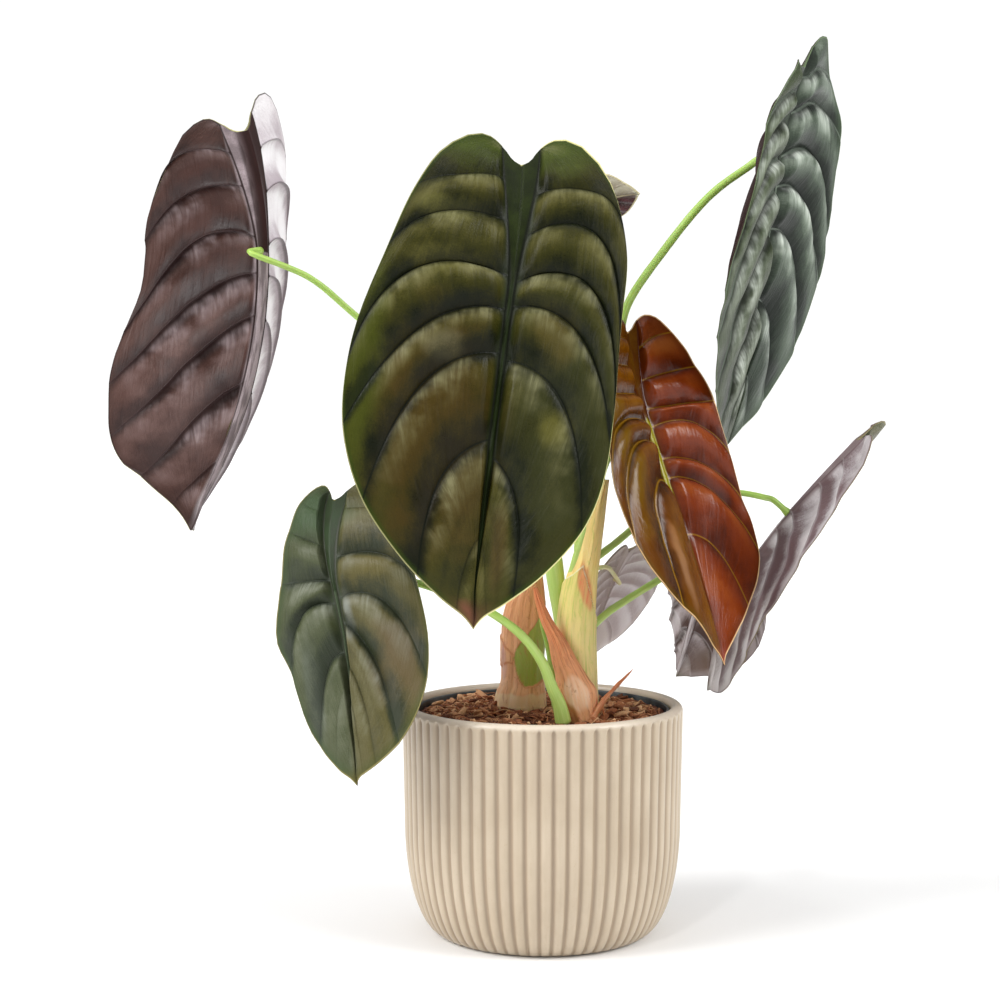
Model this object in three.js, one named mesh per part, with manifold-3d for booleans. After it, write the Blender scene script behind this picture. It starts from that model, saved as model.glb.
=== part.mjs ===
// A potted red secret alocasia: ribbed ceramic pot, plastic nursery pot, coconut potting mix,
// a clump of sheathed stems and nine shield-shaped leaves on their own stalks.
// Millimetres, +Z up, origin at the centre of the pot's flat base, the front towards -Y.
import * as THREE from 'three';
import * as BufferGeometryUtils from 'three/addons/utils/BufferGeometryUtils.js';
import Module from 'manifold-3d';

const wasm = await Module();
wasm.setup();
const { Manifold, Mesh } = wasm;
const { Vector3, MathUtils } = THREE;
const DEG = Math.PI / 180;

// Driving dimensions of the pots and the mix
const POT_HEIGHT = 114;
const RIM_RADIUS = 70;
const WALL_RADIUS = 68.9;
const BASE_RADIUS = 50;
const SHOULDER_HEIGHT = 56.9;
const CORNER_POWER = 2.05;
const LIP_INNER_RADIUS = 63.6;
const POT_FLOOR = 8;
const POT_WALL = 6;
const FLUTE_COUNT = 64;
const FLUTE_DEPTH = 1.2;
const FLUTE_TOP = 112.2;
const FLUTE_TURN = 3.1 * DEG;
const CLEARANCE = 0.3;
const LINER_RIM_RADIUS = 63.2;
const LINER_TOP = 111.6;
const LINER_WALL = 1.4;
const MIX_LEVEL = 108.6;
const MIX_RELIEF = 1.6;
const BLADE_THICKNESS = 1;
const KEEL_THICKNESS = 2.1;
const STALK_SIDES = 6;

const MATERIALS = {
  ceramic: { color: 0xd7c8b5, roughness: 0.45 },
  liner: { color: 0x4b5356, roughness: 0.5 },
  mix: { color: 0x6f4328, roughness: 0.95 },
  bladeOlive: { color: 0x4b4a2c, roughness: 0.4 },
  bladeWine: { color: 0x5a4448, roughness: 0.5 },
  bladeGrey: { color: 0x566052, roughness: 0.45 },
  bladeCopper: { color: 0x8a3a18, roughness: 0.3 },
  bladeSilver: { color: 0x9c949a, roughness: 0.45 },
  drySpike: { color: 0x9a4f30, roughness: 0.7 },
  stalk: { color: 0x96be50, roughness: 0.45 },
  sheathPale: { color: 0xd2c378, roughness: 0.55 },
  sheathBrown: { color: 0xc08a62, roughness: 0.65 },
};

function seeded(seed) {
  let state = seed;
  return () => {
    state = (state * 1664525 + 1013904223) % 4294967296;
    return state / 4294967296;
  };
}

// A closed solid from a list of corners and triangles
function solidFrom(corners, triangles) {
  return new Manifold(new Mesh({
    numProp: 3,
    vertProperties: Float32Array.from(corners.flat()),
    triVerts: Uint32Array.from(triangles.flat()),
  }));
}

// A solid from a three.js geometry whose corners are merged first
function solidOf(geometry) {
  const bare = geometry.index ? geometry.toNonIndexed() : geometry.clone();
  bare.deleteAttribute('normal');
  bare.deleteAttribute('uv');
  const merged = BufferGeometryUtils.mergeVertices(bare, 1e-4);
  const kept = [];
  for (let i = 0; i < merged.index.count; i += 3) {
    const [a, b, c] = [0, 1, 2].map((k) => merged.index.getX(i + k));
    if (a !== b && b !== c && a !== c) {
      kept.push(a, b, c);
    }
  }
  return new Manifold(new Mesh({
    numProp: 3,
    vertProperties: Float32Array.from(merged.attributes.position.array),
    triVerts: Uint32Array.from(kept),
  }));
}

function geometryOf(solid) {
  const mesh = solid.getMesh();
  const geometry = new THREE.BufferGeometry();
  geometry.setAttribute('position', new THREE.BufferAttribute(mesh.vertProperties, 3));
  geometry.setIndex(new THREE.BufferAttribute(mesh.triVerts, 1));
  geometry.computeVertexNormals();
  return geometry;
}

const group = new THREE.Group();

function addPart(name, solid, material) {
  const mesh = new THREE.Mesh(
    geometryOf(solid),
    new THREE.MeshStandardMaterial({ ...MATERIALS[material], metalness: 0 }),
  );
  mesh.name = name;
  group.add(mesh);
}

// Rings of points stacked into a closed skin; neighbouring rings may differ in count
class Skin {
  constructor() {
    this.corners = [];
    this.triangles = [];
  }

  ring(count, place) {
    const first = this.corners.length;
    for (let i = 0; i < count; i += 1) {
      this.corners.push(place(i / count));
    }
    return { first, count };
  }

  point(corner) {
    this.corners.push(corner);
    return this.corners.length - 1;
  }

  // Joins a lower ring to the one after it, counter-clockwise seen from outside
  join(low, high) {
    let i = 0;
    let j = 0;
    while (i < low.count || j < high.count) {
      const a = low.first + (i % low.count);
      const b = high.first + (j % high.count);
      if (j >= high.count || (i < low.count && (i + 0.5) / low.count <= (j + 0.5) / high.count)) {
        this.triangles.push([a, low.first + ((i + 1) % low.count), b]);
        i += 1;
      } else {
        this.triangles.push([a, high.first + ((j + 1) % high.count), b]);
        j += 1;
      }
    }
  }

  cap(ring, centre, outwardIsUp) {
    for (let i = 0; i < ring.count; i += 1) {
      const a = ring.first + i;
      const b = ring.first + ((i + 1) % ring.count);
      this.triangles.push(outwardIsUp ? [a, b, centre] : [b, a, centre]);
    }
  }

  solid() {
    return solidFrom(this.corners, this.triangles);
  }
}

function wallRadius(z) {
  if (z >= SHOULDER_HEIGHT) {
    const rise = (z - SHOULDER_HEIGHT) / (POT_HEIGHT - SHOULDER_HEIGHT);
    return WALL_RADIUS + (RIM_RADIUS - WALL_RADIUS) * rise;
  }
  const drop = (SHOULDER_HEIGHT - z) / SHOULDER_HEIGHT;
  const reach = (1 - drop ** CORNER_POWER) ** (1 / CORNER_POWER);
  return BASE_RADIUS + (WALL_RADIUS - BASE_RADIUS) * reach;
}

function around(radius, z) {
  return (share) => {
    const angle = share * 2 * Math.PI + FLUTE_TURN;
    return [radius * Math.cos(angle), radius * Math.sin(angle), z];
  };
}

// The ribbed outer pot: a broad rib and a narrow groove, repeated around the wall
function ceramicPot() {
  const skin = new Skin();
  const columns = FLUTE_COUNT * 3;
  const fluted = (z, depth, inset = 0) => skin.ring(columns, (share) => {
    const step = Math.round(share * columns) % 3;
    const turn = share + (step === 1 ? -0.06 : step === 2 ? 0.06 : 0) / FLUTE_COUNT;
    return around(wallRadius(z) - inset - (step === 0 ? depth : 0), z)(turn);
  });
  const plain = (radius, z) => skin.ring(FLUTE_COUNT, around(radius, z));
  const innerWall = (z) => Math.min(LIP_INNER_RADIUS, wallRadius(z) - POT_WALL);
  const rings = [
    fluted(0, FLUTE_DEPTH * 0.5),
    fluted(3, FLUTE_DEPTH),
    fluted(12, FLUTE_DEPTH),
    fluted(27, FLUTE_DEPTH),
    fluted(SHOULDER_HEIGHT, FLUTE_DEPTH),
    fluted(FLUTE_TOP - 2.2, FLUTE_DEPTH),
    fluted(FLUTE_TOP, 0, 0.4),
    plain(RIM_RADIUS - 0.9, POT_HEIGHT - 0.9),
    plain(RIM_RADIUS - 3.1, POT_HEIGHT),
    plain(LIP_INNER_RADIUS + 1, POT_HEIGHT - 0.9),
    plain(LIP_INNER_RADIUS, POT_HEIGHT - 3.1),
    plain(innerWall(SHOULDER_HEIGHT), SHOULDER_HEIGHT),
    plain(innerWall(27), 27),
    plain(innerWall(POT_FLOOR), POT_FLOOR),
  ];
  rings.slice(1).forEach((ring, i) => skin.join(rings[i], ring));
  skin.cap(rings[0], skin.point([0, 0, 0]), false);
  skin.cap(rings[rings.length - 1], skin.point([0, 0, POT_FLOOR]), true);
  return skin.solid();
}

// Half-section points [radius, z] of the nursery pot and of the mix that fills it
const LINER_FOOT = POT_FLOOR + CLEARANCE;
const LINER_FOOT_RADIUS = 44;
const LINER_NECK = 103;
const LINER_NECK_RADIUS = 60.6;

function latheSolid(profile, segments) {
  const points = profile.map(([radius, z]) => new THREE.Vector2(radius, z));
  const geometry = new THREE.LatheGeometry([...points, points[0].clone()], segments);
  geometry.rotateX(Math.PI / 2);
  return solidOf(geometry);
}

function nurseryPot() {
  const neckIn = LINER_NECK_RADIUS - LINER_WALL;
  return latheSolid([
    [0, LINER_FOOT],
    [LINER_FOOT_RADIUS, LINER_FOOT],
    [LINER_NECK_RADIUS, LINER_NECK],
    [LINER_RIM_RADIUS, LINER_NECK + 2],
    [LINER_RIM_RADIUS, LINER_TOP],
    [LINER_RIM_RADIUS - LINER_WALL, LINER_TOP],
    [LINER_RIM_RADIUS - LINER_WALL, LINER_NECK + 3],
    [neckIn, LINER_NECK],
    [LINER_FOOT_RADIUS - LINER_WALL, LINER_FOOT + LINER_WALL],
    [0, LINER_FOOT + LINER_WALL],
  ], 60);
}

// The mix: one filled body with an uneven top, and coconut chips fused to it
function pottingMix(holes) {
  const random = seeded(11);
  const skin = new Skin();
  const foot = LINER_FOOT + LINER_WALL + CLEARANCE;
  const neckIn = LINER_NECK_RADIUS - LINER_WALL - CLEARANCE;
  const topRadius = LINER_RIM_RADIUS - LINER_WALL - CLEARANCE;
  const sectors = 40;
  const at = (radius, z, jitter) => (share) => {
    const angle = share * 2 * Math.PI;
    const spread = jitter * (random() - 0.5);
    return [radius * Math.cos(angle), radius * Math.sin(angle), z + spread];
  };
  const rings = [
    skin.ring(sectors, at(LINER_FOOT_RADIUS - LINER_WALL - CLEARANCE - 0.4, foot, 0)),
    skin.ring(sectors, at(neckIn, LINER_NECK, 0)),
    skin.ring(sectors, at(topRadius - 0.2, LINER_NECK + 3.6, 0)),
    skin.ring(sectors, at(topRadius - 0.3, MIX_LEVEL, MIX_RELIEF)),
    skin.ring(34, at(topRadius * 0.86, MIX_LEVEL + 0.7, 2 * MIX_RELIEF)),
    skin.ring(28, at(topRadius * 0.7, MIX_LEVEL + 0.9, 2 * MIX_RELIEF)),
    skin.ring(22, at(topRadius * 0.54, MIX_LEVEL + 1.2, 2 * MIX_RELIEF)),
    skin.ring(16, at(topRadius * 0.38, MIX_LEVEL + 1.4, 2 * MIX_RELIEF)),
    skin.ring(10, at(topRadius * 0.2, MIX_LEVEL + 1.4, MIX_RELIEF)),
  ];
  rings.slice(1).forEach((ring, i) => skin.join(rings[i], ring));
  skin.cap(rings[0], skin.point([0, 0, foot]), false);
  skin.cap(rings[rings.length - 1], skin.point([0, 0, MIX_LEVEL + 1.4]), true);
  const chips = [skin.solid()];
  const chipCount = 34;
  for (let i = 0; i < chipCount; i += 1) {
    const radius = 54 * Math.sqrt(0.06 + 0.94 * random());
    const angle = i * 2.39996;
    const size = new Vector3(5 + 5 * random(), 3 + 3 * random(), 2.2 + 1.4 * random());
    const chip = new THREE.BoxGeometry(size.x, size.y, size.z);
    chip.rotateX(0.5 * (random() - 0.5));
    chip.rotateY(0.5 * (random() - 0.5));
    chip.rotateZ(Math.PI * random());
    const lift = MIX_LEVEL + 0.8 + 1.4 * random();
    chip.translate(radius * Math.cos(angle), radius * Math.sin(angle), lift);
    chips.push(solidOf(chip));
  }
  return holes.reduce((body, hole) => body.subtract(hole), Manifold.union(chips));
}

// Shared half outline of a blade: [share of half width, share of lobe length or tip length]
const OUTLINE = [
  [0, 1], [0.07, 1.04], [0.15, 1.15], [0.28, 1.22], [0.46, 1.15], [0.66, 0.93],
  [0.83, 0.6], [0.94, 0.25], [0.99, -0.08], [1, -0.3], [0.95, -0.5], [0.8, -0.68],
  [0.55, -0.82], [0.28, -0.915], [0.09, -0.965], [0, -1],
];
// Where each side vein leaves the middle of the blade, and where it meets the outline
const VEIN_ROOT = [1, 0.85, 0.52, 0.12, -0.08, -0.24, -0.45, -0.68, -1];
const VEIN_END = [2, 4.6, 6.9, 8.2, 9.4, 10.7, 12.2, 13.5, 15];
const LATERAL_SHARES = [0, 0.14, 0.42, 0.72, 1];
const SMALL_BLADE_ROWS = [2, 2, 1, 2, 2, 2, 1, 1];

function smooth(list, at) {
  const i = MathUtils.clamp(Math.floor(at), 0, list.length - 2);
  const f = at - i;
  const pick = (k) => list[MathUtils.clamp(k, 0, list.length - 1)];
  const [a, b, c, d] = [pick(i - 1), pick(i), pick(i + 1), pick(i + 2)];
  return 0.5 * (2 * b + (c - a) * f + (2 * a - 5 * b + 4 * c - d) * f * f
    + (3 * b - a - 3 * c + d) * f * f * f);
}

const LEAF_DEFAULTS = {
  lobe: 0.22,
  notch: 1,
  fullLeft: 0,
  fullRight: 0,
  openLeft: 0,
  openRight: 0,
  edgeLeft: [0, 0, 0, 0, 0, 0, 0, 0, 0],
  edgeRight: [0, 0, 0, 0, 0, 0, 0, 0, 0],
  quilt: 4,
  rowsPerCell: [3, 3, 2, 2, 2, 2, 2, 2],
};

// A shield-shaped blade, hung from the point where its stalk meets it
class Blade {
  constructor(options) {
    Object.assign(this, LEAF_DEFAULTS, options);
    const turn = new THREE.Matrix4().makeRotationZ(this.yaw * DEG);
    const stand = new THREE.Matrix4().makeRotationX(Math.PI / 2);
    const lean = new THREE.Matrix4().makeRotationX(-this.pitch * DEG);
    const roll = new THREE.Matrix4().makeRotationZ(this.roll * DEG);
    this.matrix = new THREE.Matrix4().makeTranslation(...this.joint);
    this.matrix.multiply(turn).multiply(stand).multiply(lean).multiply(roll);
  }

  width(side) {
    return side > 0 ? this.widthRight : this.widthLeft;
  }

  along(v) {
    return v > 0 ? v * this.lobeLength : v * this.tipLength;
  }

  outline(side, t) {
    let u = smooth(OUTLINE.map((p) => p[0]), t);
    let v = smooth(OUTLINE.map((p) => p[1]), t);
    if (v > 1) {
      v = 1 + (v - 1) * this.lobe / 0.22;
    }
    if (v < 0) {
      const full = side > 0 ? this.fullRight : this.fullLeft;
      u *= 1 + full * Math.sin(Math.PI * MathUtils.clamp(-v, 0, 1));
    }
    u *= MathUtils.lerp(this.notch, 1, MathUtils.smoothstep(t, 1.5, 4));
    return [u * this.width(side), this.along(v)];
  }

  // Flat place of a point: row runs 0 at the sinus to 8 at the tip, share -1 on the middle
  // line, 0 on the rib beside it and 1 on the edge
  flat(side, row, share) {
    const v = MathUtils.clamp(smooth(VEIN_ROOT, row), -1, 1);
    const middle = this.along(v);
    const ribWide = MathUtils.lerp(1.4, 1.4 + 0.14 * this.width(side), Math.max(v, 0) ** 1.2);
    const ribPlace = [ribWide * Math.min(1, (1 + v) * 6), middle];
    const top = this.outline(side, VEIN_END[0]);
    const blend = Math.max(v, 0) ** 3;
    ribPlace[0] = MathUtils.lerp(ribPlace[0], top[0], blend);
    ribPlace[1] = MathUtils.lerp(ribPlace[1], top[1], blend);
    if (share <= 0) {
      const s = share + 1;
      const rim = this.outline(side, VEIN_END[0] * s);
      const chord = [top[0] * s, MathUtils.lerp(this.along(1), top[1], s)];
      return [
        side * (ribPlace[0] * s + (rim[0] - chord[0]) * blend),
        MathUtils.lerp(middle, ribPlace[1], s) + (rim[1] - chord[1]) * blend,
      ];
    }
    const end = this.outline(side, MathUtils.clamp(smooth(VEIN_END, row), VEIN_END[0], 15));
    const edge = smooth(side > 0 ? this.edgeRight : this.edgeLeft, row);
    end[0] += edge;
    const bow = [
      MathUtils.lerp(ribPlace[0], end[0], 0.62),
      MathUtils.lerp(ribPlace[1], end[1], 0.1),
    ];
    const q = share;
    const blendPoint = [0, 1].map((k) => (1 - q) ** 2 * ribPlace[k]
      + 2 * q * (1 - q) * bow[k] + q * q * end[k]);
    return [side * blendPoint[0], blendPoint[1]];
  }

  // Relief and keel fade out towards the narrow tip
  fade(row) {
    return MathUtils.clamp((VEIN_ROOT.length - 1 - row) / 1.8, 0, 1);
  }

  // Quilted relief: sunk along the veins, raised between them
  relief(row, share) {
    const height = this.quilt * this.fade(row);
    if (share <= 0) {
      return -0.35 * height * (1 + share * 0.5);
    }
    const cell = Math.abs(Math.sin(Math.PI * row)) ** 0.7 - 0.35;
    return height * cell * Math.min(share / 0.25, 1) * (1 - 0.4 * share ** 3);
  }

  // Bends the flat blade: an arc along the middle line, a fold and a curl across each half
  shape(x, y, height) {
    const reach = y < 0 ? -y / this.tipLength : y / this.lobeLength;
    const steps = 6;
    const spine = new Vector3();
    const frame = (at) => {
      const r = at < 0 ? -at / this.tipLength : at / this.lobeLength;
      const bend = (at < 0 ? this.bend : -this.bendUp) * r * DEG;
      const side = (at < 0 ? this.side : this.sideUp) * r * DEG;
      const forward = new Vector3(
        -Math.sin(side) * Math.cos(bend),
        Math.cos(side) * Math.cos(bend),
        Math.sin(bend),
      );
      const across = new Vector3(Math.cos(side), Math.sin(side), 0);
      return { forward, across };
    };
    for (let i = 0; i < steps; i += 1) {
      spine.addScaledVector(frame(y * (i + 0.5) / steps).forward, y / steps);
    }
    const { forward, across } = frame(y);
    const up = new Vector3().crossVectors(across, forward);
    const twist = y < 0 ? this.twist * reach * DEG : -this.twist * reach * DEG * 0.3;
    across.applyAxisAngle(forward, -twist);
    up.applyAxisAngle(forward, -twist);
    const side = x >= 0 ? 1 : -1;
    const open = y < 0 ? 1 - 3 * Math.max(0, reach - 0.85) : 1;
    const flat = (side > 0 ? this.openRight : this.openLeft) * DEG;
    const opened = flat * MathUtils.smoothstep(y > 0 ? reach : 0, 0, 1);
    const fold = (side > 0 ? this.foldRight : this.foldLeft) * DEG * open - opened;
    const curl = (side > 0 ? this.curlRight : this.curlLeft) * DEG || 1e-4;
    const width = this.width(side);
    const angle = fold + curl * Math.abs(x) / width;
    const out = width / curl * (Math.sin(angle) - Math.sin(fold)) - Math.sin(angle) * height;
    const rise = width / curl * (Math.cos(fold) - Math.cos(angle)) + Math.cos(angle) * height;
    return spine.addScaledVector(across, side * out).addScaledVector(up, rise);
  }

  place(side, row, share, under) {
    const [x, y] = this.flat(side, row, share);
    const keel = share < 0 ? -share * this.fade(row) : 0;
    const thickness = MathUtils.lerp(BLADE_THICKNESS, KEEL_THICKNESS, keel);
    const height = this.relief(row, share) - (under ? thickness : 0);
    const point = this.shape(share <= -1 ? side * 1e-6 : x, y, height);
    return point.applyMatrix4(this.matrix);
  }

  rows() {
    const list = [0];
    this.rowsPerCell.forEach((count, cell) => {
      for (let i = 1; i <= count; i += 1) {
        list.push(cell + i / count);
      }
    });
    return list;
  }

  solid() {
    const corners = [];
    const index = new Map();
    const corner = (side, row, share, under) => {
      const [x, y] = this.flat(side, row, share);
      const key = `${Math.round(x * 50)},${Math.round(y * 50)},${under}`;
      if (!index.has(key)) {
        index.set(key, corners.length);
        const sideUsed = share <= -1 ? 1 : side;
        corners.push(this.place(sideUsed, row, share, under).toArray());
      }
      return index.get(key);
    };
    const triangles = [];
    const face = (a, b, c, flip) => {
      if (a !== b && b !== c && a !== c) {
        triangles.push(flip ? [a, c, b] : [a, b, c]);
      }
    };
    const rows = this.rows();
    const shares = [-1, ...LATERAL_SHARES];
    [1, -1].forEach((side) => {
      for (let i = 0; i + 1 < rows.length; i += 1) {
        for (let j = 0; j + 1 < shares.length; j += 1) {
          [false, true].forEach((under) => {
            const a = corner(side, rows[i], shares[j], under);
            const b = corner(side, rows[i + 1], shares[j], under);
            const c = corner(side, rows[i + 1], shares[j + 1], under);
            const d = corner(side, rows[i], shares[j + 1], under);
            const flip = (side < 0) !== under;
            face(a, b, c, flip);
            face(a, c, d, flip);
          });
        }
      }
      const border = shares.filter((share) => share <= 0).map((share) => [0, share]);
      rows.slice(1).forEach((row) => border.push([row, 1]));
      for (let i = 0; i + 1 < border.length; i += 1) {
        const [rowA, shareA] = border[i];
        const [rowB, shareB] = border[i + 1];
        const a = corner(side, rowA, shareA, false);
        const b = corner(side, rowB, shareB, false);
        const c = corner(side, rowB, shareB, true);
        const d = corner(side, rowA, shareA, true);
        face(a, c, b, side > 0);
        face(a, d, c, side > 0);
      }
    });
    return solidFrom(corners, triangles);
  }

  // The point just under the blade where its stalk ends, and the way the stalk comes in
  socket(distance) {
    return this.shape(1e-6, 0, this.relief(3, -1) - KEEL_THICKNESS - distance)
      .applyMatrix4(this.matrix);
  }
}

// A round bar along a path; its radii are spread evenly over its length
function tube(points, radii, sides = STALK_SIDES, steps = 14) {
  const curve = new THREE.CatmullRomCurve3(points, false, 'centripetal');
  const frames = curve.computeFrenetFrames(steps, false);
  const skin = new Skin();
  const rings = [];
  for (let i = 0; i <= steps; i += 1) {
    const centre = curve.getPointAt(i / steps);
    const at = (i / steps) * (radii.length - 1);
    const low = Math.min(Math.floor(at), radii.length - 2);
    const radius = MathUtils.lerp(radii[low], radii[low + 1], at - low);
    rings.push(skin.ring(sides, (share) => {
      const angle = share * 2 * Math.PI;
      return centre.clone()
        .addScaledVector(frames.normals[i], radius * Math.cos(angle))
        .addScaledVector(frames.binormals[i], radius * Math.sin(angle))
        .toArray();
    }));
  }
  rings.slice(1).forEach((ring, i) => skin.join(rings[i], ring));
  skin.cap(rings[0], skin.point(points[0].toArray()), false);
  skin.cap(rings[steps], skin.point(points[points.length - 1].toArray()), true);
  return skin.solid();
}

// A stem or sheath: oval rings [x, y, z, half width, half depth] closed at both ends
function ovalStem(stations, sides = 14) {
  const skin = new Skin();
  const rings = stations.map(([x, y, z, wide, deep]) => skin.ring(sides, (share) => {
    const angle = share * 2 * Math.PI;
    return [x + wide * Math.cos(angle), y + deep * Math.sin(angle), z];
  }));
  rings.slice(1).forEach((ring, i) => skin.join(rings[i], ring));
  const [low, high] = [stations[0], stations[stations.length - 1]];
  skin.cap(rings[0], skin.point(low.slice(0, 3)), false);
  skin.cap(rings[rings.length - 1], skin.point(high.slice(0, 3)), true);
  return skin.solid();
}

const BLADES = {
  front_leaf: new Blade({
    joint: [-15.5, -60, 319], yaw: 5.5, pitch: 15, roll: -8.5,
    tipLength: 161.5, lobeLength: 63.5, widthLeft: 62, widthRight: 56.5, fullLeft: 0.15,
    foldLeft: 13, foldRight: 13.5, curlLeft: -11, curlRight: -4,
    bend: 13.5, bendUp: 17, side: 1.5, sideUp: 4, twist: -1.5,
    edgeLeft: [0, 0.2, -0.7, 1.6, 1.1, 0.6, -0.4, -0.2, 0],
    edgeRight: [0, 0.7, -1.2, -3.6, -2, 1.4, 0, -1.4, 0],
  }),
  upper_left_leaf: new Blade({
    joint: [-141.4, 25, 339.8], yaw: 200.3, pitch: 6.6, roll: -2.5, lobe: 0.14,
    tipLength: 157.8, lobeLength: 61.3, widthLeft: 57.9, widthRight: 69.7, fullRight: 0.05,
    foldLeft: 53, foldRight: 45, curlLeft: 21.4, curlRight: -7.8, openLeft: 8,
    bend: 45.3, bendUp: 12.3, side: 48.7, sideUp: -19.5, twist: -13.8,
    edgeLeft: [0, 8, -3, -0.6, -0.2, 1.4, 0.5, 0, 0],
    edgeRight: [0, -5, 2.1, -1.5, 1.9, 1.9, 8.2, 2, 0],
    rowsPerCell: [3, 3, 2, 2, 2, 2, 2, 1],
  }),
  lower_left_leaf: new Blade({
    joint: [-100.6, -40, 174.4], yaw: -23, pitch: 18, roll: 22,
    tipLength: 94.5, lobeLength: 51, widthLeft: 36.5, widthRight: 41.5, fullLeft: -0.08,
    foldLeft: -5.5, foldRight: 1, curlLeft: -13, curlRight: -11.5,
    bend: 6.5, bendUp: 24.5, side: -14.5, sideUp: -14, twist: 2, quilt: 3,
    edgeLeft: [0, -2.7, -4.7, 3, -1.4, -1.9, -2, -0.6, 0],
    edgeRight: [0, 0, 0, 0.2, 0.7, 0.3, -0.3, -2.6, 0],
  }),
  front_right_leaf: new Blade({
    joint: [50.5, -22, 256.4], yaw: 48.5, pitch: 21, roll: 2,
    tipLength: 125, lobeLength: 43.5, widthLeft: 44, widthRight: 46, fullLeft: 0.15,
    foldLeft: 17, foldRight: 11, curlLeft: -23, curlRight: 2,
    bend: 0, bendUp: -8.5, side: -2.5, sideUp: -6, twist: -5, quilt: 3,
    edgeLeft: [0, 0, 0, 0, 1, 0, -4.5, -1, 0],
    edgeRight: [0, -1, 0.9, -1.2, -1.3, 4, -1.5, -2, 0],
  }),
  upper_right_leaf: new Blade({
    joint: [116.9, -5, 380], yaw: 62.3, pitch: -13.2, roll: 16.2, lobe: 0.17, notch: 1.4,
    tipLength: 153.4, lobeLength: 49.3, widthLeft: 51.8, widthRight: 58.8, fullLeft: 0.15,
    foldLeft: 6.1, foldRight: 3.9, curlLeft: -3.5, curlRight: 2.5, openLeft: 8.2, openRight: 12.6,
    bend: 9, bendUp: -18.2, side: 2, sideUp: 7.1, twist: 6,
    edgeLeft: [0, -3.7, -7.6, -2.2, 1.5, -2.9, 0.5, 0.6, 0],
    edgeRight: [0, 2.5, 5.8, 0, 0, -1.9, -0.7, 0.6, 0],
  }),
  right_leaf: new Blade({
    joint: [123.2, -2, 207.3], yaw: 90.5, pitch: -36.5, roll: 25,
    tipLength: 117.5, lobeLength: 52.5, widthLeft: 46, widthRight: 43,
    foldLeft: 11.5, foldRight: 13, curlLeft: 0, curlRight: 0,
    bend: -29.5, bendUp: -2.5, side: 10, sideUp: 3.5, twist: -14, quilt: 2.6,
    edgeLeft: [0, -2, 0.3, 1.8, 0, -0.6, 1.5, 0.7, 0],
  }),
  lower_right_leaf: new Blade({
    joint: [88.3, 80, 164.8], yaw: 180, pitch: 33, roll: 6.5,
    tipLength: 67.5, lobeLength: 29.5, widthLeft: 35.5, widthRight: 32, fullLeft: 0.05,
    foldLeft: -1, foldRight: 59.5, curlLeft: 0, curlRight: 0,
    bend: -2.5, bendUp: 10, side: 5, sideUp: 0, twist: 20.5, quilt: 3,
    edgeLeft: [0, 0, 0.1, 0.5, 1.7, 2.1, 3.2, 2, 0],
    edgeRight: [0, 0, 0, 0, 0, 0, -1.8, -2.6, 0],
    rowsPerCell: SMALL_BLADE_ROWS,
  }),
  rear_leaf: new Blade({
    joint: [37.4, 38, 173.4], yaw: 228.7, pitch: 38, roll: -16.8,
    tipLength: 66, lobeLength: 21.5, widthLeft: 33.2, widthRight: 14.6,
    foldLeft: -11, foldRight: 1.5, curlLeft: 0, curlRight: 0,
    bend: 2.5, bendUp: 6, side: -8, sideUp: 2, twist: -3, quilt: 1.2,
    rowsPerCell: SMALL_BLADE_ROWS,
  }),
  top_rear_leaf: new Blade({
    joint: [24.6, 10, 361], yaw: 149.4, pitch: 46, roll: -120.5,
    tipLength: 32.5, lobeLength: 15, widthLeft: 20.3, widthRight: 11.5,
    foldLeft: -9.5, foldRight: -25.3, curlLeft: 0, curlRight: 0,
    bend: 10.5, bendUp: 8, side: 29.9, sideUp: 0, twist: 0, quilt: 1.4,
    rowsPerCell: SMALL_BLADE_ROWS,
  }),
};

// Paths of the stalks from their feet in the stems or the mix up to the blades, and their radii
const STALKS = {
  front_leaf: [[11.5, -16, 134], [9.2, -14.5, 146], [7.9, -12.5, 157], [7.2, -11, 166],
    [6.2, -10, 177], [3.5, -10, 195], [-2, -12, 225], [-7, -20, 262], [-12, -32, 295]],
  upper_left_leaf: [[-6, 10, 166], [-6, 12, 180], [-9, 15.5, 197], [-19, 18, 219],
    [-36, 22, 250], [-62, 25, 280], [-94, 25, 307], [-117, 20, 326]],
  lower_left_leaf: [[9.3, -36.5, 110], [7.2, -38, 119], [3.9, -40, 127], [-1.2, -42, 140],
    [-11, -43, 153], [-26, -42, 164], [-40, -38, 170], [-67, -30, 178], [-86, -27, 178]],
  front_right_leaf: [[20, -13.5, 188], [24.5, -12.5, 208], [28.5, -10.5, 226], [32.5, -8.5, 237],
    [40, -8, 247]],
  upper_right_leaf: [[13, -18.5, 172], [14.6, -19.5, 182], [19.2, -19.5, 197.5], [25.3, -18.5, 216],
    [28.4, -17.5, 230], [31.2, -14, 246], [37, -6, 289], [41, -2, 310], [58, 1, 336],
    [82, 2, 365], [102, 4, 380]],
  right_leaf: [[23.5, -16, 186], [34, -9, 193], [59, 12, 210], [79, 18, 217], [99, 13, 218],
    [111, 6, 216]],
  lower_right_leaf: [[21, -14, 151], [32, -9, 160], [41, -2, 165], [57, 5, 174], [71, 22, 180],
    [82, 48, 178]],
  rear_leaf: [[22.5, -15, 180.5], [27.5, -8, 182], [33, 8, 180.5], [36, 22, 177]],
  top_rear_leaf: [[16.5, -15, 184], [16.6, -13, 194], [18, -8.5, 212], [24, -4, 245], [30, -2, 275],
    [31, 2, 309], [28, 6, 336]],
};
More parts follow.
